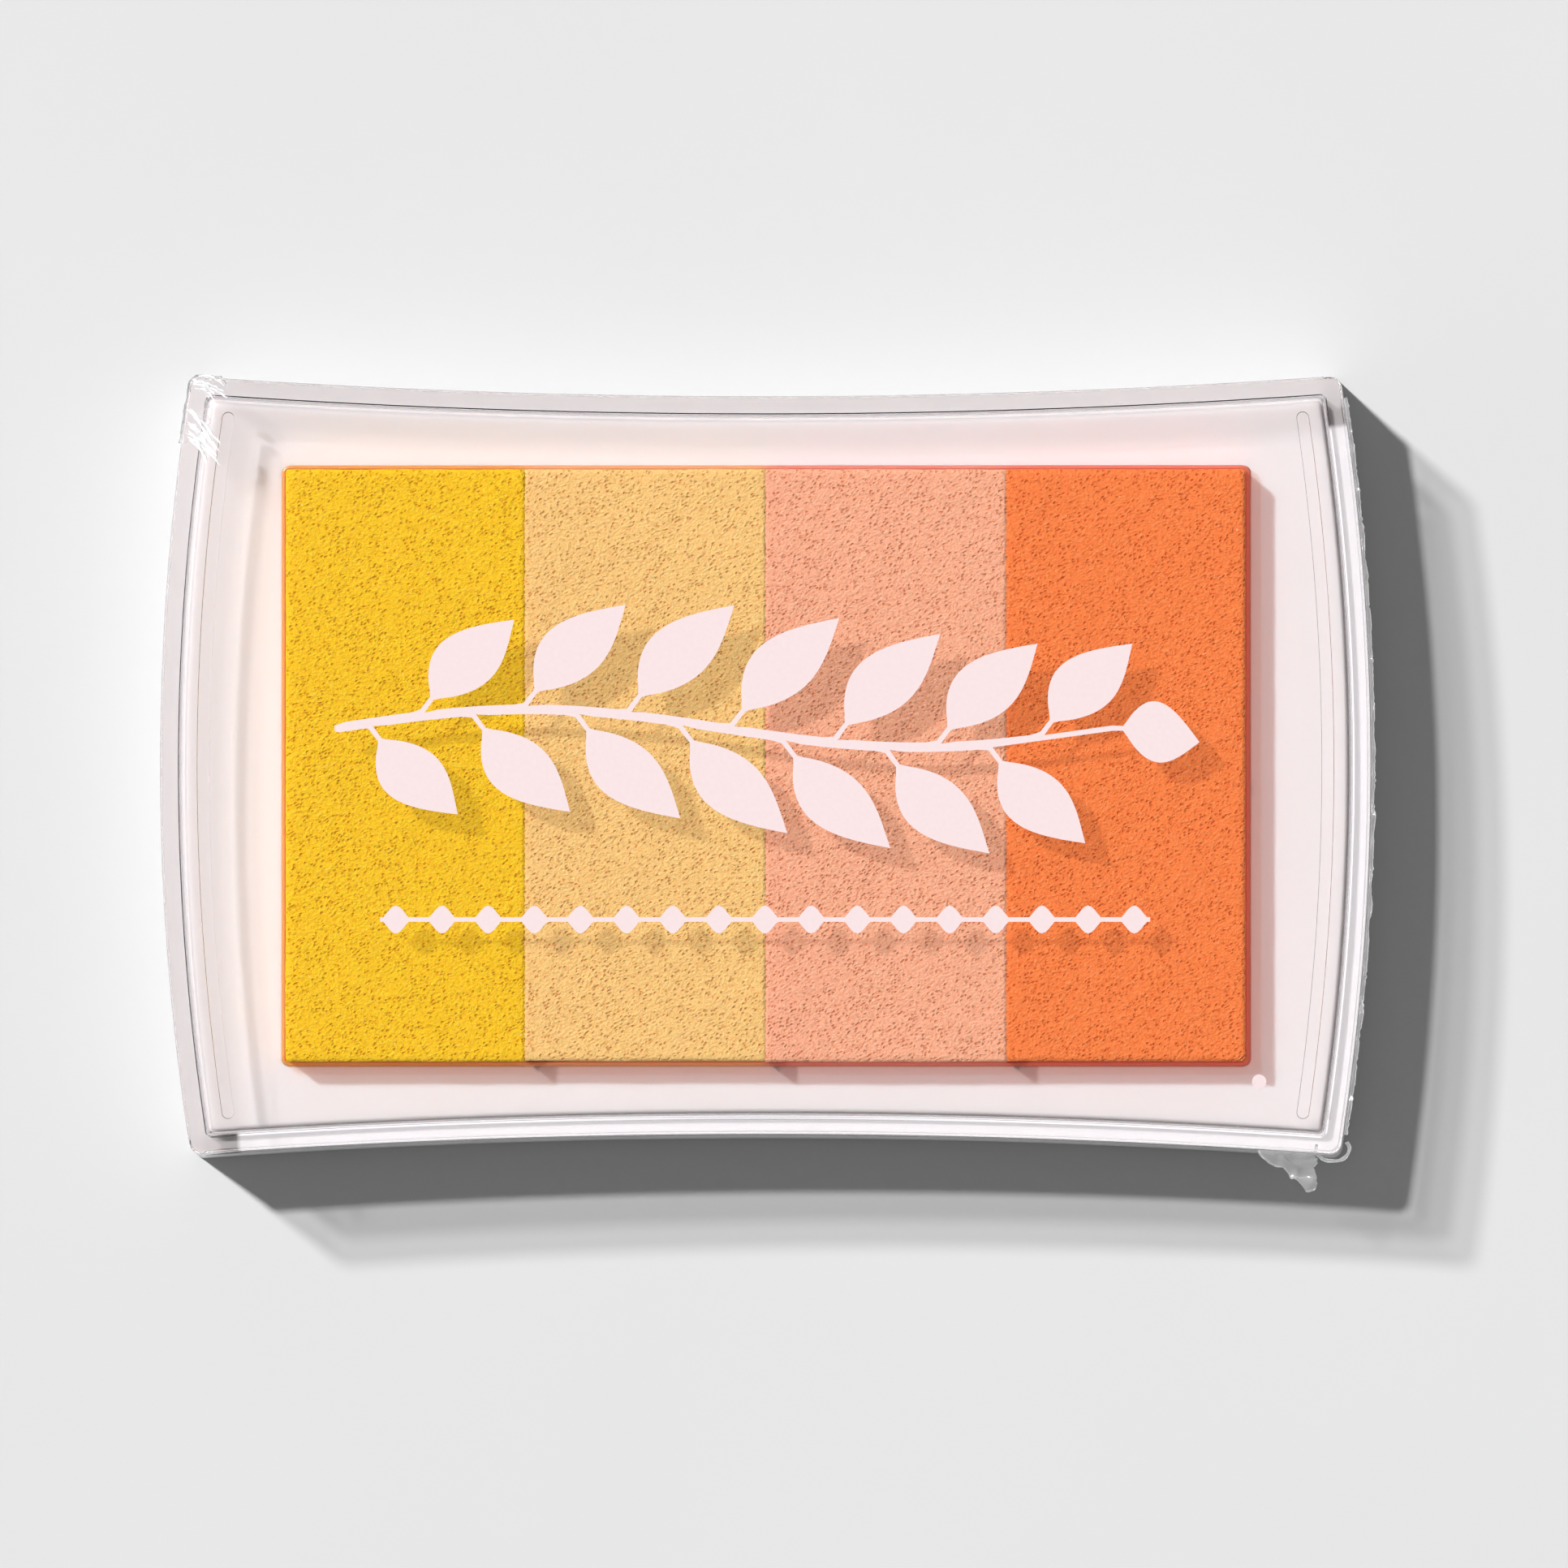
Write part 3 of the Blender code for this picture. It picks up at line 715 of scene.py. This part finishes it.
def clear_styrene(name, colour, roughness, faced, edge_on):
    """Clear moulded styrene. It passes faced of the lamps' light that meets it square on, and edge_on of
    what glances along it."""
    material, tree, shader = new_material(name)
    link = tree.links.new
    skin = tree.nodes.new("ShaderNodeGroup")
    skin.node_tree = MOULDING_SKIN
    use_bump(tree, shader, skin.outputs["Height"], 0.004 * MM)
    # The foot face gets painted shade in its colour and, at the front and right-hand end, a painted glow.
    foot, glow = painted_foot_light(tree)
    painted_foot_shade = tuple(value * FOOT_PAINTED_SHADE for value in colour)
    link(mixed(tree, foot, colour, painted_foot_shade), shader.inputs["Base Color"])
    shader.inputs["Roughness"].default_value = roughness
    shader.inputs["IOR"].default_value = 1.57
    shader.inputs["Transmission Weight"].default_value = 1.0
    link(glow, shader.inputs["Emission Color"])
    shader.inputs["Emission Strength"].default_value = 1.0
    through = tree.nodes.new("ShaderNodeBsdfTransparent")
    slant = add_node(tree, "ShaderNodeLayerWeight", Blend=0.35)
    loss = two_tone(tree, slant.outputs["Facing"], (faced,) * 3, (edge_on,) * 3)
    link(loss, through.inputs["Color"])
    let_light_through(tree, shader, through)
    return material


CLEAR_LID = clear_styrene("clear lid styrene", (0.97, 0.935, 0.955), 0.02, 0.94, 0.61)


def rib_outline(side, inset):
    """A bar that follows the case's bulging end, with round ends; inset shrinks it all round."""
    centre = (side * (END_X - END_RADIUS), 0)
    radius = END_RADIUS - RIB_INSET
    half = RIB_WIDTH / 2 - inset
    reach = math.asin((RIB_REACH - RIB_WIDTH / 2) / radius)
    middle = math.pi / 2 - side * math.pi / 2
    outer = arc(centre, radius + half, middle - reach, middle + reach, 2 * ARC_STEPS)
    inner = arc(centre, radius - half, middle + reach, middle - reach, 2 * ARC_STEPS)
    near, far = middle - reach, middle + reach
    far_tip = (centre[0] + radius * math.cos(far), radius * math.sin(far))
    near_tip = (centre[0] + radius * math.cos(near), radius * math.sin(near))
    points = outer + arc(far_tip, half, far, far + math.pi, CORNER_STEPS)[1:-1]
    return points + inner + arc(near_tip, half, near + math.pi, near + 2 * math.pi, CORNER_STEPS)[1:-1]


def make_rib(side):
    ceiling = LID_TOP - LID_PLATE
    foot = ceiling - RIB_DEPTH
    rings = []
    for i in range(5):
        a = math.pi / 2 * i / 4
        inset = RIB_EDGE * (1 - math.sin(a))
        rings.append(level(rib_outline(side, inset), foot + RIB_EDGE * (1 - math.cos(a))))
    rings.append(level(rib_outline(side, 0), ceiling + BITE))
    return closed_skin("rib", rings)


def make_lid():
    foot = LID_LOW.z
    ceiling = LID_TOP - LID_PLATE
    edge, nub, inner = LID_EDGE, LID_FOOT_EDGE, LID_INNER_EDGE
    section = [(-MIDDLE_INSET, MIDDLE_CORNER, LID_TOP)]
    section += [(-2 * edge, CASE_CORNER, LID_TOP), (-edge, CASE_CORNER, LID_TOP)]
    section += fillet(-edge, LID_TOP, 0, LID_TOP - edge, CASE_CORNER, bulge_out=False)
    section += [(0, CASE_CORNER, LID_TOP - edge), (SEAM_FLARE, CASE_CORNER, foot + nub)]
    section += [(SEAM_FLARE - nub, CASE_CORNER, foot), (-LID_WALL_FOOT + nub, INNER_CORNER, foot)]
    section += [(-LID_WALL_FOOT, INNER_CORNER, foot + nub), (-LID_WALL, INNER_CORNER, ceiling - inner)]
    section += fillet(-LID_WALL, ceiling - inner, -LID_WALL - inner, ceiling, INNER_CORNER, steps=7)
    section += [(-LID_WALL - inner, INNER_CORNER, ceiling), (-MIDDLE_INSET, MIDDLE_CORNER, ceiling)]
    lid = moulding("clear_lid", section)
    for side in (-1, 1):
        apply_boolean(lid, make_rib(side), "UNION")
    set_material(lid, CLEAR_LID)
    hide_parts("lid")
    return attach(lid, "lid")


make_lid()

# ---------------------------------------------------------------------------------------------
# Print: opaque white ink, screen-printed on the lid's top: a leafy sprig, a beaded rule below
# it, and a small round register mark near one corner.
# ---------------------------------------------------------------------------------------------

PRINT_LOW, PRINT_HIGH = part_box("print_sprig")
SPRIG_START = -34.0 * MM
SPRIG_END = 27.4 * MM
SPRIG_Y = 2.9 * MM
SPRIG_WAVE = 1.5 * MM
STEM_HALF = 0.42 * MM
STEM_STEPS = 8
LEAVES_A_SIDE = 7
LEAF_SPREAD = 0.93
LEAF_LENGTH = 9.2 * MM
LEAF_GROWTH = 2.6 * MM
LEAF_HALF_WIDTH = 2.3 * MM
LEAF_STALK = 0.14
LEAF_DROOP = 0.16
LEAF_ANGLE = math.radians(54)
LEAF_STEPS = 24
END_LEAF = 0.75
RULE_Y = -12.2 * MM
RULE_HALF = 0.18 * MM
BEADS = 17
BEAD_HALF_HEIGHT = 1.1 * MM
BEAD_HALF_LENGTH = 1.25 * MM


def printed_ink():
    """White screen ink: it hides what is under it, but lets some of the lamps' light through."""
    material, tree, shader = new_material("white screen ink")
    link = tree.links.new
    place = tree.nodes.new("ShaderNodeTexCoord").outputs["Object"]
    grain = add_node(tree, "ShaderNodeTexNoise", Scale=3000.0, Detail=3.0)
    link(place, grain.inputs["Vector"])
    tint = two_tone(tree, grain.outputs["Fac"], (0.59, 0.475, 0.48), (0.63, 0.515, 0.525))
    link(tint, shader.inputs["Base Color"])
    shader.inputs["Roughness"].default_value = 0.45
    use_bump(tree, shader, grain.outputs["Fac"], 0.004 * MM)
    through = tree.nodes.new("ShaderNodeBsdfTransparent")
    through.inputs["Color"].default_value = (0.86, 0.86, 0.86, 1)
    let_light_through(tree, shader, through)
    return material


SCREEN_INK = printed_ink()


def stem_point(t):
    x = SPRIG_START + (SPRIG_END - SPRIG_START) * t
    return Vector((x, SPRIG_Y + SPRIG_WAVE * math.sin(2 * math.pi * t)))


def leaf_outline(root, heading, side, length):
    """One leaf's edge, out along its near side and back along its far side, on a short stalk."""
    along = Vector((math.cos(heading), math.sin(heading)))
    across = Vector((-along.y, along.x)) * side
    edge = []
    for way, steps in ((1, range(LEAF_STEPS)), (-1, range(LEAF_STEPS, -1, -1))):
        for i in steps:
            t = i / LEAF_STEPS
            blade = max(0, (t - LEAF_STALK) / (1 - LEAF_STALK)) ** 0.85
            width = STEM_HALF * (1 - t) / 2 + LEAF_HALF_WIDTH * math.sin(math.pi * blade)
            spine = root + along * length * t - across * length * LEAF_DROOP * t * t
            edge.append(tuple(spine + across * width * way))
    return edge


def sprig_outline():
    """Stem and leaves as one closed edge: along the upper side, round the last leaf, and back below."""
    upper, lower = [], []
    for side, edge in ((1, upper), (-1, lower)):
        edge.append(tuple(stem_point(0) + Vector((0, side * STEM_HALF / 2))))
        last = 0
        for i in range(LEAVES_A_SIDE):
            t = LEAF_SPREAD * (i + 0.45 + 0.25 * side) / LEAVES_A_SIDE + 0.02
            for step in range(1, STEM_STEPS):
                between = last + (t - last) * step / STEM_STEPS
                edge.append(tuple(stem_point(between) + Vector((0, side * STEM_HALF * 0.9))))
            root = stem_point(t) + Vector((0, side * STEM_HALF * 0.9))
            length = LEAF_LENGTH + LEAF_GROWTH * math.sin(math.pi * t)
            edge += leaf_outline(root, side * LEAF_ANGLE, side, length)
            last = t + 0.006
    return upper + leaf_outline(stem_point(1), 0, 1, LEAF_LENGTH * END_LEAF) + lower[::-1]


def rule_outline():
    """A thin rule with a row of small lozenge beads on it, as one closed edge."""
    half_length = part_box("print_rule")[1].x
    upper = [(-half_length, RULE_HALF)]
    pitch = 2 * (half_length - BEAD_HALF_LENGTH) / (BEADS - 1)
    for i in range(BEADS):
        x = -half_length + BEAD_HALF_LENGTH + i * pitch
        for step in range(-4, 5):
            rise = math.cos(step / 4 * math.pi / 2) ** 1.2
            height = RULE_HALF + (BEAD_HALF_HEIGHT - RULE_HALF) * rise
            upper.append((x + BEAD_HALF_LENGTH * 0.8 * step / 4, height))
    upper.append((half_length, RULE_HALF))
    lower = [(x, -y) for x, y in reversed(upper)]
    return [(x, RULE_Y + y) for x, y in upper + lower]


def make_print():
    dot_low, dot_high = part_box("print_dot")
    dot = (dot_low + dot_high) / 2
    shapes = {
        "print_sprig": sprig_outline(),
        "print_rule": rule_outline(),
        "print_dot": arc((dot.x, dot.y), (dot_high.x - dot_low.x) / 2, 0, 2 * math.pi, 48)[:-1],
    }
    for node, shape in shapes.items():
        layer = closed_skin(f"screen_{node}", [level(shape, PRINT_LOW.z), level(shape, PRINT_HIGH.z)])
        set_material(layer, SCREEN_INK)
        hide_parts(node)
        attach(layer, "lid")


make_print()

# ---------------------------------------------------------------------------------------------
# Remains of the shrink film the pad is sold in: a crinkled cap left on one corner of the lid, the
# ragged trimmed seam along one end, and a torn flap. Thin clear film, welded shut by heat.
# ---------------------------------------------------------------------------------------------

FILM_SHEET = 0.03 * MM
FILM_GAP = 0.03 * MM
SEAM_LEVEL = 11.0 * MM
CAP_ALONG = 6.4 * MM
CAP_ACROSS = 3.0 * MM
CAP_DOWN = 6.0 * MM
CAP_OVER = 2.4 * MM
CAP_CENTRE = 6.0 * MM
CAP_STEP = 0.09 * MM
CAP_WALL_ROWS = 12
CAP_EDGE_ROWS = 4
CAP_TOP_ROWS = 26
CREASE_HEIGHT = 0.12 * MM
FOLD_WIDTH = 0.17 * MM
FOLD_HEIGHT = 0.22 * MM
FOLD_STEPS = 18
FOLD_GROUPS = (
    (Vector((-45.3, 30.1)) * MM, Vector((-43.2, 29.2)) * MM, 6, 0.45 * MM),
    (Vector((-45.75, 26.9)) * MM, Vector((-43.8, 24.6)) * MM, 10, 1.25 * MM),
)
SEAM_REACH = 29.2 * MM
SEAM_STEPS = 260
SEAM_SWAY = 0.5 * MM
SEAM_CURL = 0.25 * MM
FLAP_ROOT = Vector((40.6, -30.28)) * MM
FLAP_TIP = Vector((43.2, -33.6)) * MM
FLAP_ROOT_WIDTH = 4.6 * MM
FLAP_TIP_WIDTH = 0.9 * MM
FLAP_SAG = 1.2 * MM
FLAP_STEPS = 18
CURL_CENTRE = Vector((44.9, -30.35)) * MM
CURL_RADII = (1.25 * MM, 0.85 * MM)
CURL_START = math.radians(-200)
CURL_SWEEP = math.radians(235)
CURL_STEPS = 40
CURL_DROP = 0.8 * MM
CURL_HEIGHT = 0.35 * MM
CURL_LEAN = 0.25 * MM
STRIP_STEPS = 4


def film_material(name, clearness, roughness, bend):
    """Clear shrink film, milkier where it has drawn up, with sharp creases that catch the light; the folds'
    near-white is painted highlight.
    """
    material, tree, shader = new_material(name)
    place = tree.nodes.new("ShaderNodeTexCoord").outputs["Object"]
    creases = add_node(tree, "ShaderNodeTexNoise", Scale=1500.0, Detail=3.0, Distortion=1.0)
    tree.links.new(place, creases.inputs["Vector"])
    use_bump(tree, shader, creases.outputs["Fac"], 0.05 * MM)
    tint = two_tone(tree, creases.outputs["Fac"], (0.93, 0.93, 0.94), (0.99, 0.99, 0.99))
    tree.links.new(tint, shader.inputs["Base Color"])
    shader.inputs["Roughness"].default_value = roughness
    shader.inputs["IOR"].default_value = bend
    shader.inputs["Transmission Weight"].default_value = clearness
    through = tree.nodes.new("ShaderNodeBsdfTransparent")
    through.inputs["Color"].default_value = (0.95, 0.95, 0.95, 1)
    let_light_through(tree, shader, through)
    return material


def sheet_between(name, rows):
    """A thin closed sheet whose face runs through rows of points; its back lies FILM_SHEET behind."""
    bm = bmesh.new()
    front = [[bm.verts.new(point) for point in row] for row in rows]
    for near, far in zip(front, front[1:]):
        for i in range(len(near) - 1):
            bm.faces.new((near[i], near[i + 1], far[i + 1], far[i]))
    bmesh.ops.recalc_face_normals(bm, faces=bm.faces)
    bmesh.ops.solidify(bm, geom=bm.faces[:], thickness=FILM_SHEET)
    piece = add_piece(name, bm)
    piece.data.set_sharp_from_angle(angle=math.pi)
    return piece


def crumple(point, size, reach):
    """A repeatable nudge of up to reach for a point, from creases about size apart."""
    near = Vector(point) / size
    starts = (Vector((0, 0, 0)), Vector((31, 0, 0)), Vector((0, 47, 0)))
    return Vector([noise.noise(near + start) for start in starts]) * reach


def make_film_cap():
    """Film drawn tight round the lid's back left corner and over its edge, with a feathered border."""
    outline = case_outline(SEAM_FLARE * 0.4 + FILM_GAP, CASE_CORNER)
    corner = max(range(len(outline)), key=lambda i: outline[i][1] - outline[i][0])
    middle = Vector(outline[corner])
    dense = []
    for i in range(-8, 9):
        here = Vector(outline[(corner + i) % len(outline)])
        if (here - middle).length <= (CAP_ALONG if here.y < middle.y - 1.5 * MM else CAP_ACROSS):
            dense.append(here)
    path = []
    for near, far in zip(dense, dense[1:]):
        steps = max(1, round((far - near).length / CAP_STEP))
        path += [near.lerp(far, k / steps) for k in range(steps)]
    path.append(dense[-1])
    centre = Vector((middle.x + CAP_CENTRE, middle.y - CAP_CENTRE))
    rows = []
    for i, here in enumerate(path):
        ragged = 0.75 + 0.5 * noise.noise(Vector((here.x, here.y, 0)) * 900)
        fade = math.sin(math.pi * (i + 1) / (len(path) + 1)) ** 0.6
        inward = (centre - here).normalized()
        row = []
        for k in range(CAP_WALL_ROWS):
            z = LID_TOP - LID_EDGE - CAP_DOWN * fade * ragged * (1 - k / CAP_WALL_ROWS)
            row.append((here.x, here.y, z))
        for k in range(CAP_EDGE_ROWS + 1):
            a = math.pi / 2 * k / CAP_EDGE_ROWS
            slip = inward * (LID_EDGE * (1 - math.cos(a)))
            z = LID_TOP - LID_EDGE + (LID_EDGE + FILM_GAP) * math.sin(a)
            row.append((here.x + slip.x, here.y + slip.y, z))
        for k in range(1, CAP_TOP_ROWS + 1):
            slip = inward * (LID_EDGE + CAP_OVER * fade * ragged * k / CAP_TOP_ROWS)
            row.append((here.x + slip.x, here.y + slip.y, LID_TOP + FILM_GAP))
        rows.append([Vector(p) + creased(p, here, centre) for p in row])
    return sheet_between("film_cap", rows)


def creased(point, here, centre):
    """Creases lift the film off the lid, never into it."""
    across = point[0] * 0.86 + point[1] * 0.5
    along = point[1] * 0.86 - point[0] * 0.5
    fold = noise.noise(Vector((across * 1700, along * 420, point[2] * 300)))
    lift = (1 - abs(fold)) ** 4 * CREASE_HEIGHT
    outward = (here - centre).normalized()
    up = 1 if point[2] > LID_TOP - LID_EDGE * 0.5 else 0
    return Vector((outward.x * lift * (1 - up), outward.y * lift * (1 - up), lift * up))


def make_film_folds():
    """Narrow tucks where the drawn-up film has gathered at the corner, each a sliver off the lid, in
    near-white film that is painted highlight.
    """
    bm = bmesh.new()
    foot = LID_TOP + FILM_GAP
    for start, end, count, spread in FOLD_GROUPS:
        for i in range(count):
            seeds = [Vector((i * 1.7 + 0.3, salt * 2.3, start.y * 1000)) for salt in range(4)]
            stray = [noise.noise(seed) * MM for seed in seeds]
            shift = Vector((0, 2 * spread * (0.5 - i / (count - 1))))
            near = start + shift + Vector((abs(stray[0]), stray[1] * 0.5))
            far = end + shift * 0.8 + Vector((stray[2] * 1.6, stray[3]))
            side = Vector((near.y - far.y, far.x - near.x)).normalized()
            rows = []
            for k in range(1, FOLD_STEPS):
                t = k / FOLD_STEPS
                jag = noise.noise(Vector((i * 3.1, t * 7, 5)))
                middle = near.lerp(far, t) + side * (0.25 * MM * math.sin(math.pi * t) + 0.12 * MM * jag)
                half = FOLD_WIDTH * math.sin(math.pi * t) ** 0.6 * (0.75 + 0.6 * jag)
                crest = foot + FOLD_HEIGHT * math.sin(math.pi * t) * (0.8 + 0.5 * jag)
                left, right = middle - side * half, middle + side * half
                points = ((left.x, left.y, foot), (middle.x, middle.y, crest), (right.x, right.y, foot))
                rows.append([bm.verts.new(point) for point in points])
            for one, two in zip(rows, rows[1:]):
                for k in range(3):
                    bm.faces.new((one[k], one[(k + 1) % 3], two[(k + 1) % 3], two[k]))
            for tip, row in ((near, rows[0]), (far, rows[-1])):
                point = bm.verts.new((tip.x, tip.y, foot))
                for k in range(3):
                    bm.faces.new((point, row[k], row[(k + 1) % 3]))
    bmesh.ops.recalc_face_normals(bm, faces=bm.faces)
    return add_piece("film_folds", bm)


def make_film_seam():
    """The trimmed seam: a narrow ragged fin that stands out from the right-hand end of the case."""
    flare = SEAM_FLARE * (LID_TOP - SEAM_LEVEL) / (LID_TOP - LID_LOW.z)
    centre = Vector((END_X - END_RADIUS, 0))
    reach = math.asin(SEAM_REACH / END_RADIUS)
    rows = []
    for i in range(SEAM_STEPS + 1):
        a = -reach + 2 * reach * i / SEAM_STEPS
        out = Vector((math.cos(a), math.sin(a)))
        root = centre + out * (END_RADIUS + flare + FILM_GAP)
        nicks = 0.14 * noise.noise(Vector((i * 0.9, 0, 0)))
        drift = 0.16 * noise.noise(Vector((i * 0.13, 9, 0)))
        width = max(0.08, 0.30 + nicks + drift) * MM
        sway = SEAM_SWAY * noise.noise(Vector((i * 0.11, 3, 0)))
        row = []
        for k in range(STRIP_STEPS + 1):
            place = root + out * width * k / STRIP_STEPS
            curl = SEAM_CURL * (k / STRIP_STEPS) ** 2 * noise.noise(Vector((i * 0.35, 5, 0)))
            row.append((place.x, place.y, SEAM_LEVEL + sway + curl))
        rows.append(row)
    return sheet_between("film_seam", rows)


def make_film_flap():
    """A torn, crumpled flap of film that sticks out beside the front right corner."""
    rows = []
    for i in range(FLAP_STEPS + 1):
        t = i / FLAP_STEPS
        width = FLAP_ROOT_WIDTH + (FLAP_TIP_WIDTH - FLAP_ROOT_WIDTH) * t
        width += 0.5 * MM * noise.noise(Vector((i * 0.6, 2, 0)))
        middle = FLAP_ROOT.lerp(FLAP_TIP, t)
        row = []
        for k in range(FLAP_STEPS + 1):
            side = (k / FLAP_STEPS - 0.4) * width
            place = Vector((middle.x + side, middle.y + 0.03 * side, SEAM_LEVEL - FLAP_SAG * t))
            row.append(place + crumple(place, 0.9 * MM, 0.45 * MM) * min(1, 4 * t))
        rows.append(row)
    return sheet_between("film_flap", rows)


def make_film_curl():
    """The end of the seam's trimming, curled back on itself round the front right corner."""
    rows = []
    for i in range(CURL_STEPS + 1):
        a = CURL_START + CURL_SWEEP * i / CURL_STEPS
        out = Vector((math.cos(a), math.sin(a)))
        middle = CURL_CENTRE + Vector((CURL_RADII[0] * out.x, CURL_RADII[1] * out.y))
        row = []
        for k in range(STRIP_STEPS + 1):
            t = k / STRIP_STEPS
            place = Vector((middle.x, middle.y, SEAM_LEVEL - CURL_DROP + CURL_HEIGHT * t))
            place += Vector((out.x, out.y, 0)) * CURL_LEAN * t
            row.append(place + crumple(place, 0.7 * MM, 0.1 * MM))
        rows.append(row)
    return sheet_between("film_curl", rows)


TIGHT_FILM = film_material("tight shrink film", 0.97, 0.12, 1.15)
LOOSE_FILM = film_material("loose shrink film", 0.78, 0.12, 1.5)
# Painted highlight: the folds' film is mostly white and diffuse, in place of glints off the creases.
FOLD_GLINT_FILM = film_material("film folds with painted glints", 0.15, 0.30, 1.5)
films = {
    make_film_cap: TIGHT_FILM,
    make_film_folds: FOLD_GLINT_FILM,
    make_film_seam: LOOSE_FILM,
    make_film_flap: LOOSE_FILM,
    make_film_curl: LOOSE_FILM,
}
for make, material in films.items():
    film = make()
    set_material(film, material)
    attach(film, "lid")

# ---------------------------------------------------------------------------------------------
# Table, light and camera: a plain pale table top, a key lamp from the upper left with a soft
# even fill, and a long lens almost straight above.
# ---------------------------------------------------------------------------------------------

TABLE_HALF = 0.6
KEY_DIRECTION = Vector((0.588, -0.486, -1.0))
KEY_STRENGTH = 5.1
KEY_ANGLE = math.radians(3.5)
FILL = 0.31
VIEW_CENTRE = Vector((1.5 * MM, -1.5 * MM, LID_TOP))
VIEW_DISTANCE = 1.6
VIEW_WIDTH = 123.8 * MM
VIEW_TILT = math.radians(1.0)
SENSOR = 36.0


def table_material():
    material, tree, shader = new_material("pale table")
    place = tree.nodes.new("ShaderNodeTexCoord").outputs["Object"]
    cloud = add_node(tree, "ShaderNodeTexNoise", Scale=14.0, Detail=3.0)
    tree.links.new(place, cloud.inputs["Vector"])
    tint = two_tone(tree, cloud.outputs["Fac"], (0.475, 0.475, 0.48), (0.51, 0.51, 0.51))
    tree.links.new(tint, shader.inputs["Base Color"])
    shader.inputs["Roughness"].default_value = 0.6
    return material


bm = bmesh.new()
bmesh.ops.create_grid(bm, x_segments=1, y_segments=1, size=TABLE_HALF)
table = add_piece("table_top", bm)
set_material(table, table_material())

world = bpy.data.worlds.new("studio")
world.use_nodes = True
bpy.context.scene.world = world
studio = world.node_tree
above = studio.nodes.new("ShaderNodeSeparateXYZ")
studio.links.new(studio.nodes.new("ShaderNodeTexCoord").outputs["Generated"], above.inputs[0])
dome = studio.nodes.new("ShaderNodeValToRGB")
dome.color_ramp.elements[0].position = 0.90
dome.color_ramp.elements[0].color = (1, 1, 1, 1)
dome.color_ramp.elements[1].position = 0.985
dome.color_ramp.elements[1].color = (0.30, 0.30, 0.30, 1)
studio.links.new(above.outputs["Z"], dome.inputs["Fac"])
studio.links.new(dome.outputs["Color"], studio.nodes["Background"].inputs["Color"])
studio.nodes["Background"].inputs["Strength"].default_value = FILL

key = bpy.data.lights.new("key", "SUN")
key.energy = KEY_STRENGTH
key.angle = KEY_ANGLE
key_object = bpy.data.objects.new("key", key)
key_object.rotation_euler = KEY_DIRECTION.to_track_quat("-Z", "Y").to_euler()
bpy.context.scene.collection.objects.link(key_object)

lens = bpy.data.cameras.new("camera")
lens.sensor_width = SENSOR
lens.lens = SENSOR * VIEW_DISTANCE / VIEW_WIDTH
lens.clip_start = 0.05
lens.clip_end = 10
camera = bpy.data.objects.new("camera", lens)
slope = math.sin(VIEW_TILT) * math.sqrt(0.5)
back = Vector((slope, -slope, math.cos(VIEW_TILT)))
camera.location = VIEW_CENTRE + back * VIEW_DISTANCE
right = Vector((0, 1, 0)).cross(back).normalized()
up = back.cross(right)
camera.rotation_euler = Matrix((right, up, back)).transposed().to_euler()
bpy.context.scene.collection.objects.link(camera)
bpy.context.scene.camera = camera
bpy.context.scene.view_settings.view_transform = "Standard"
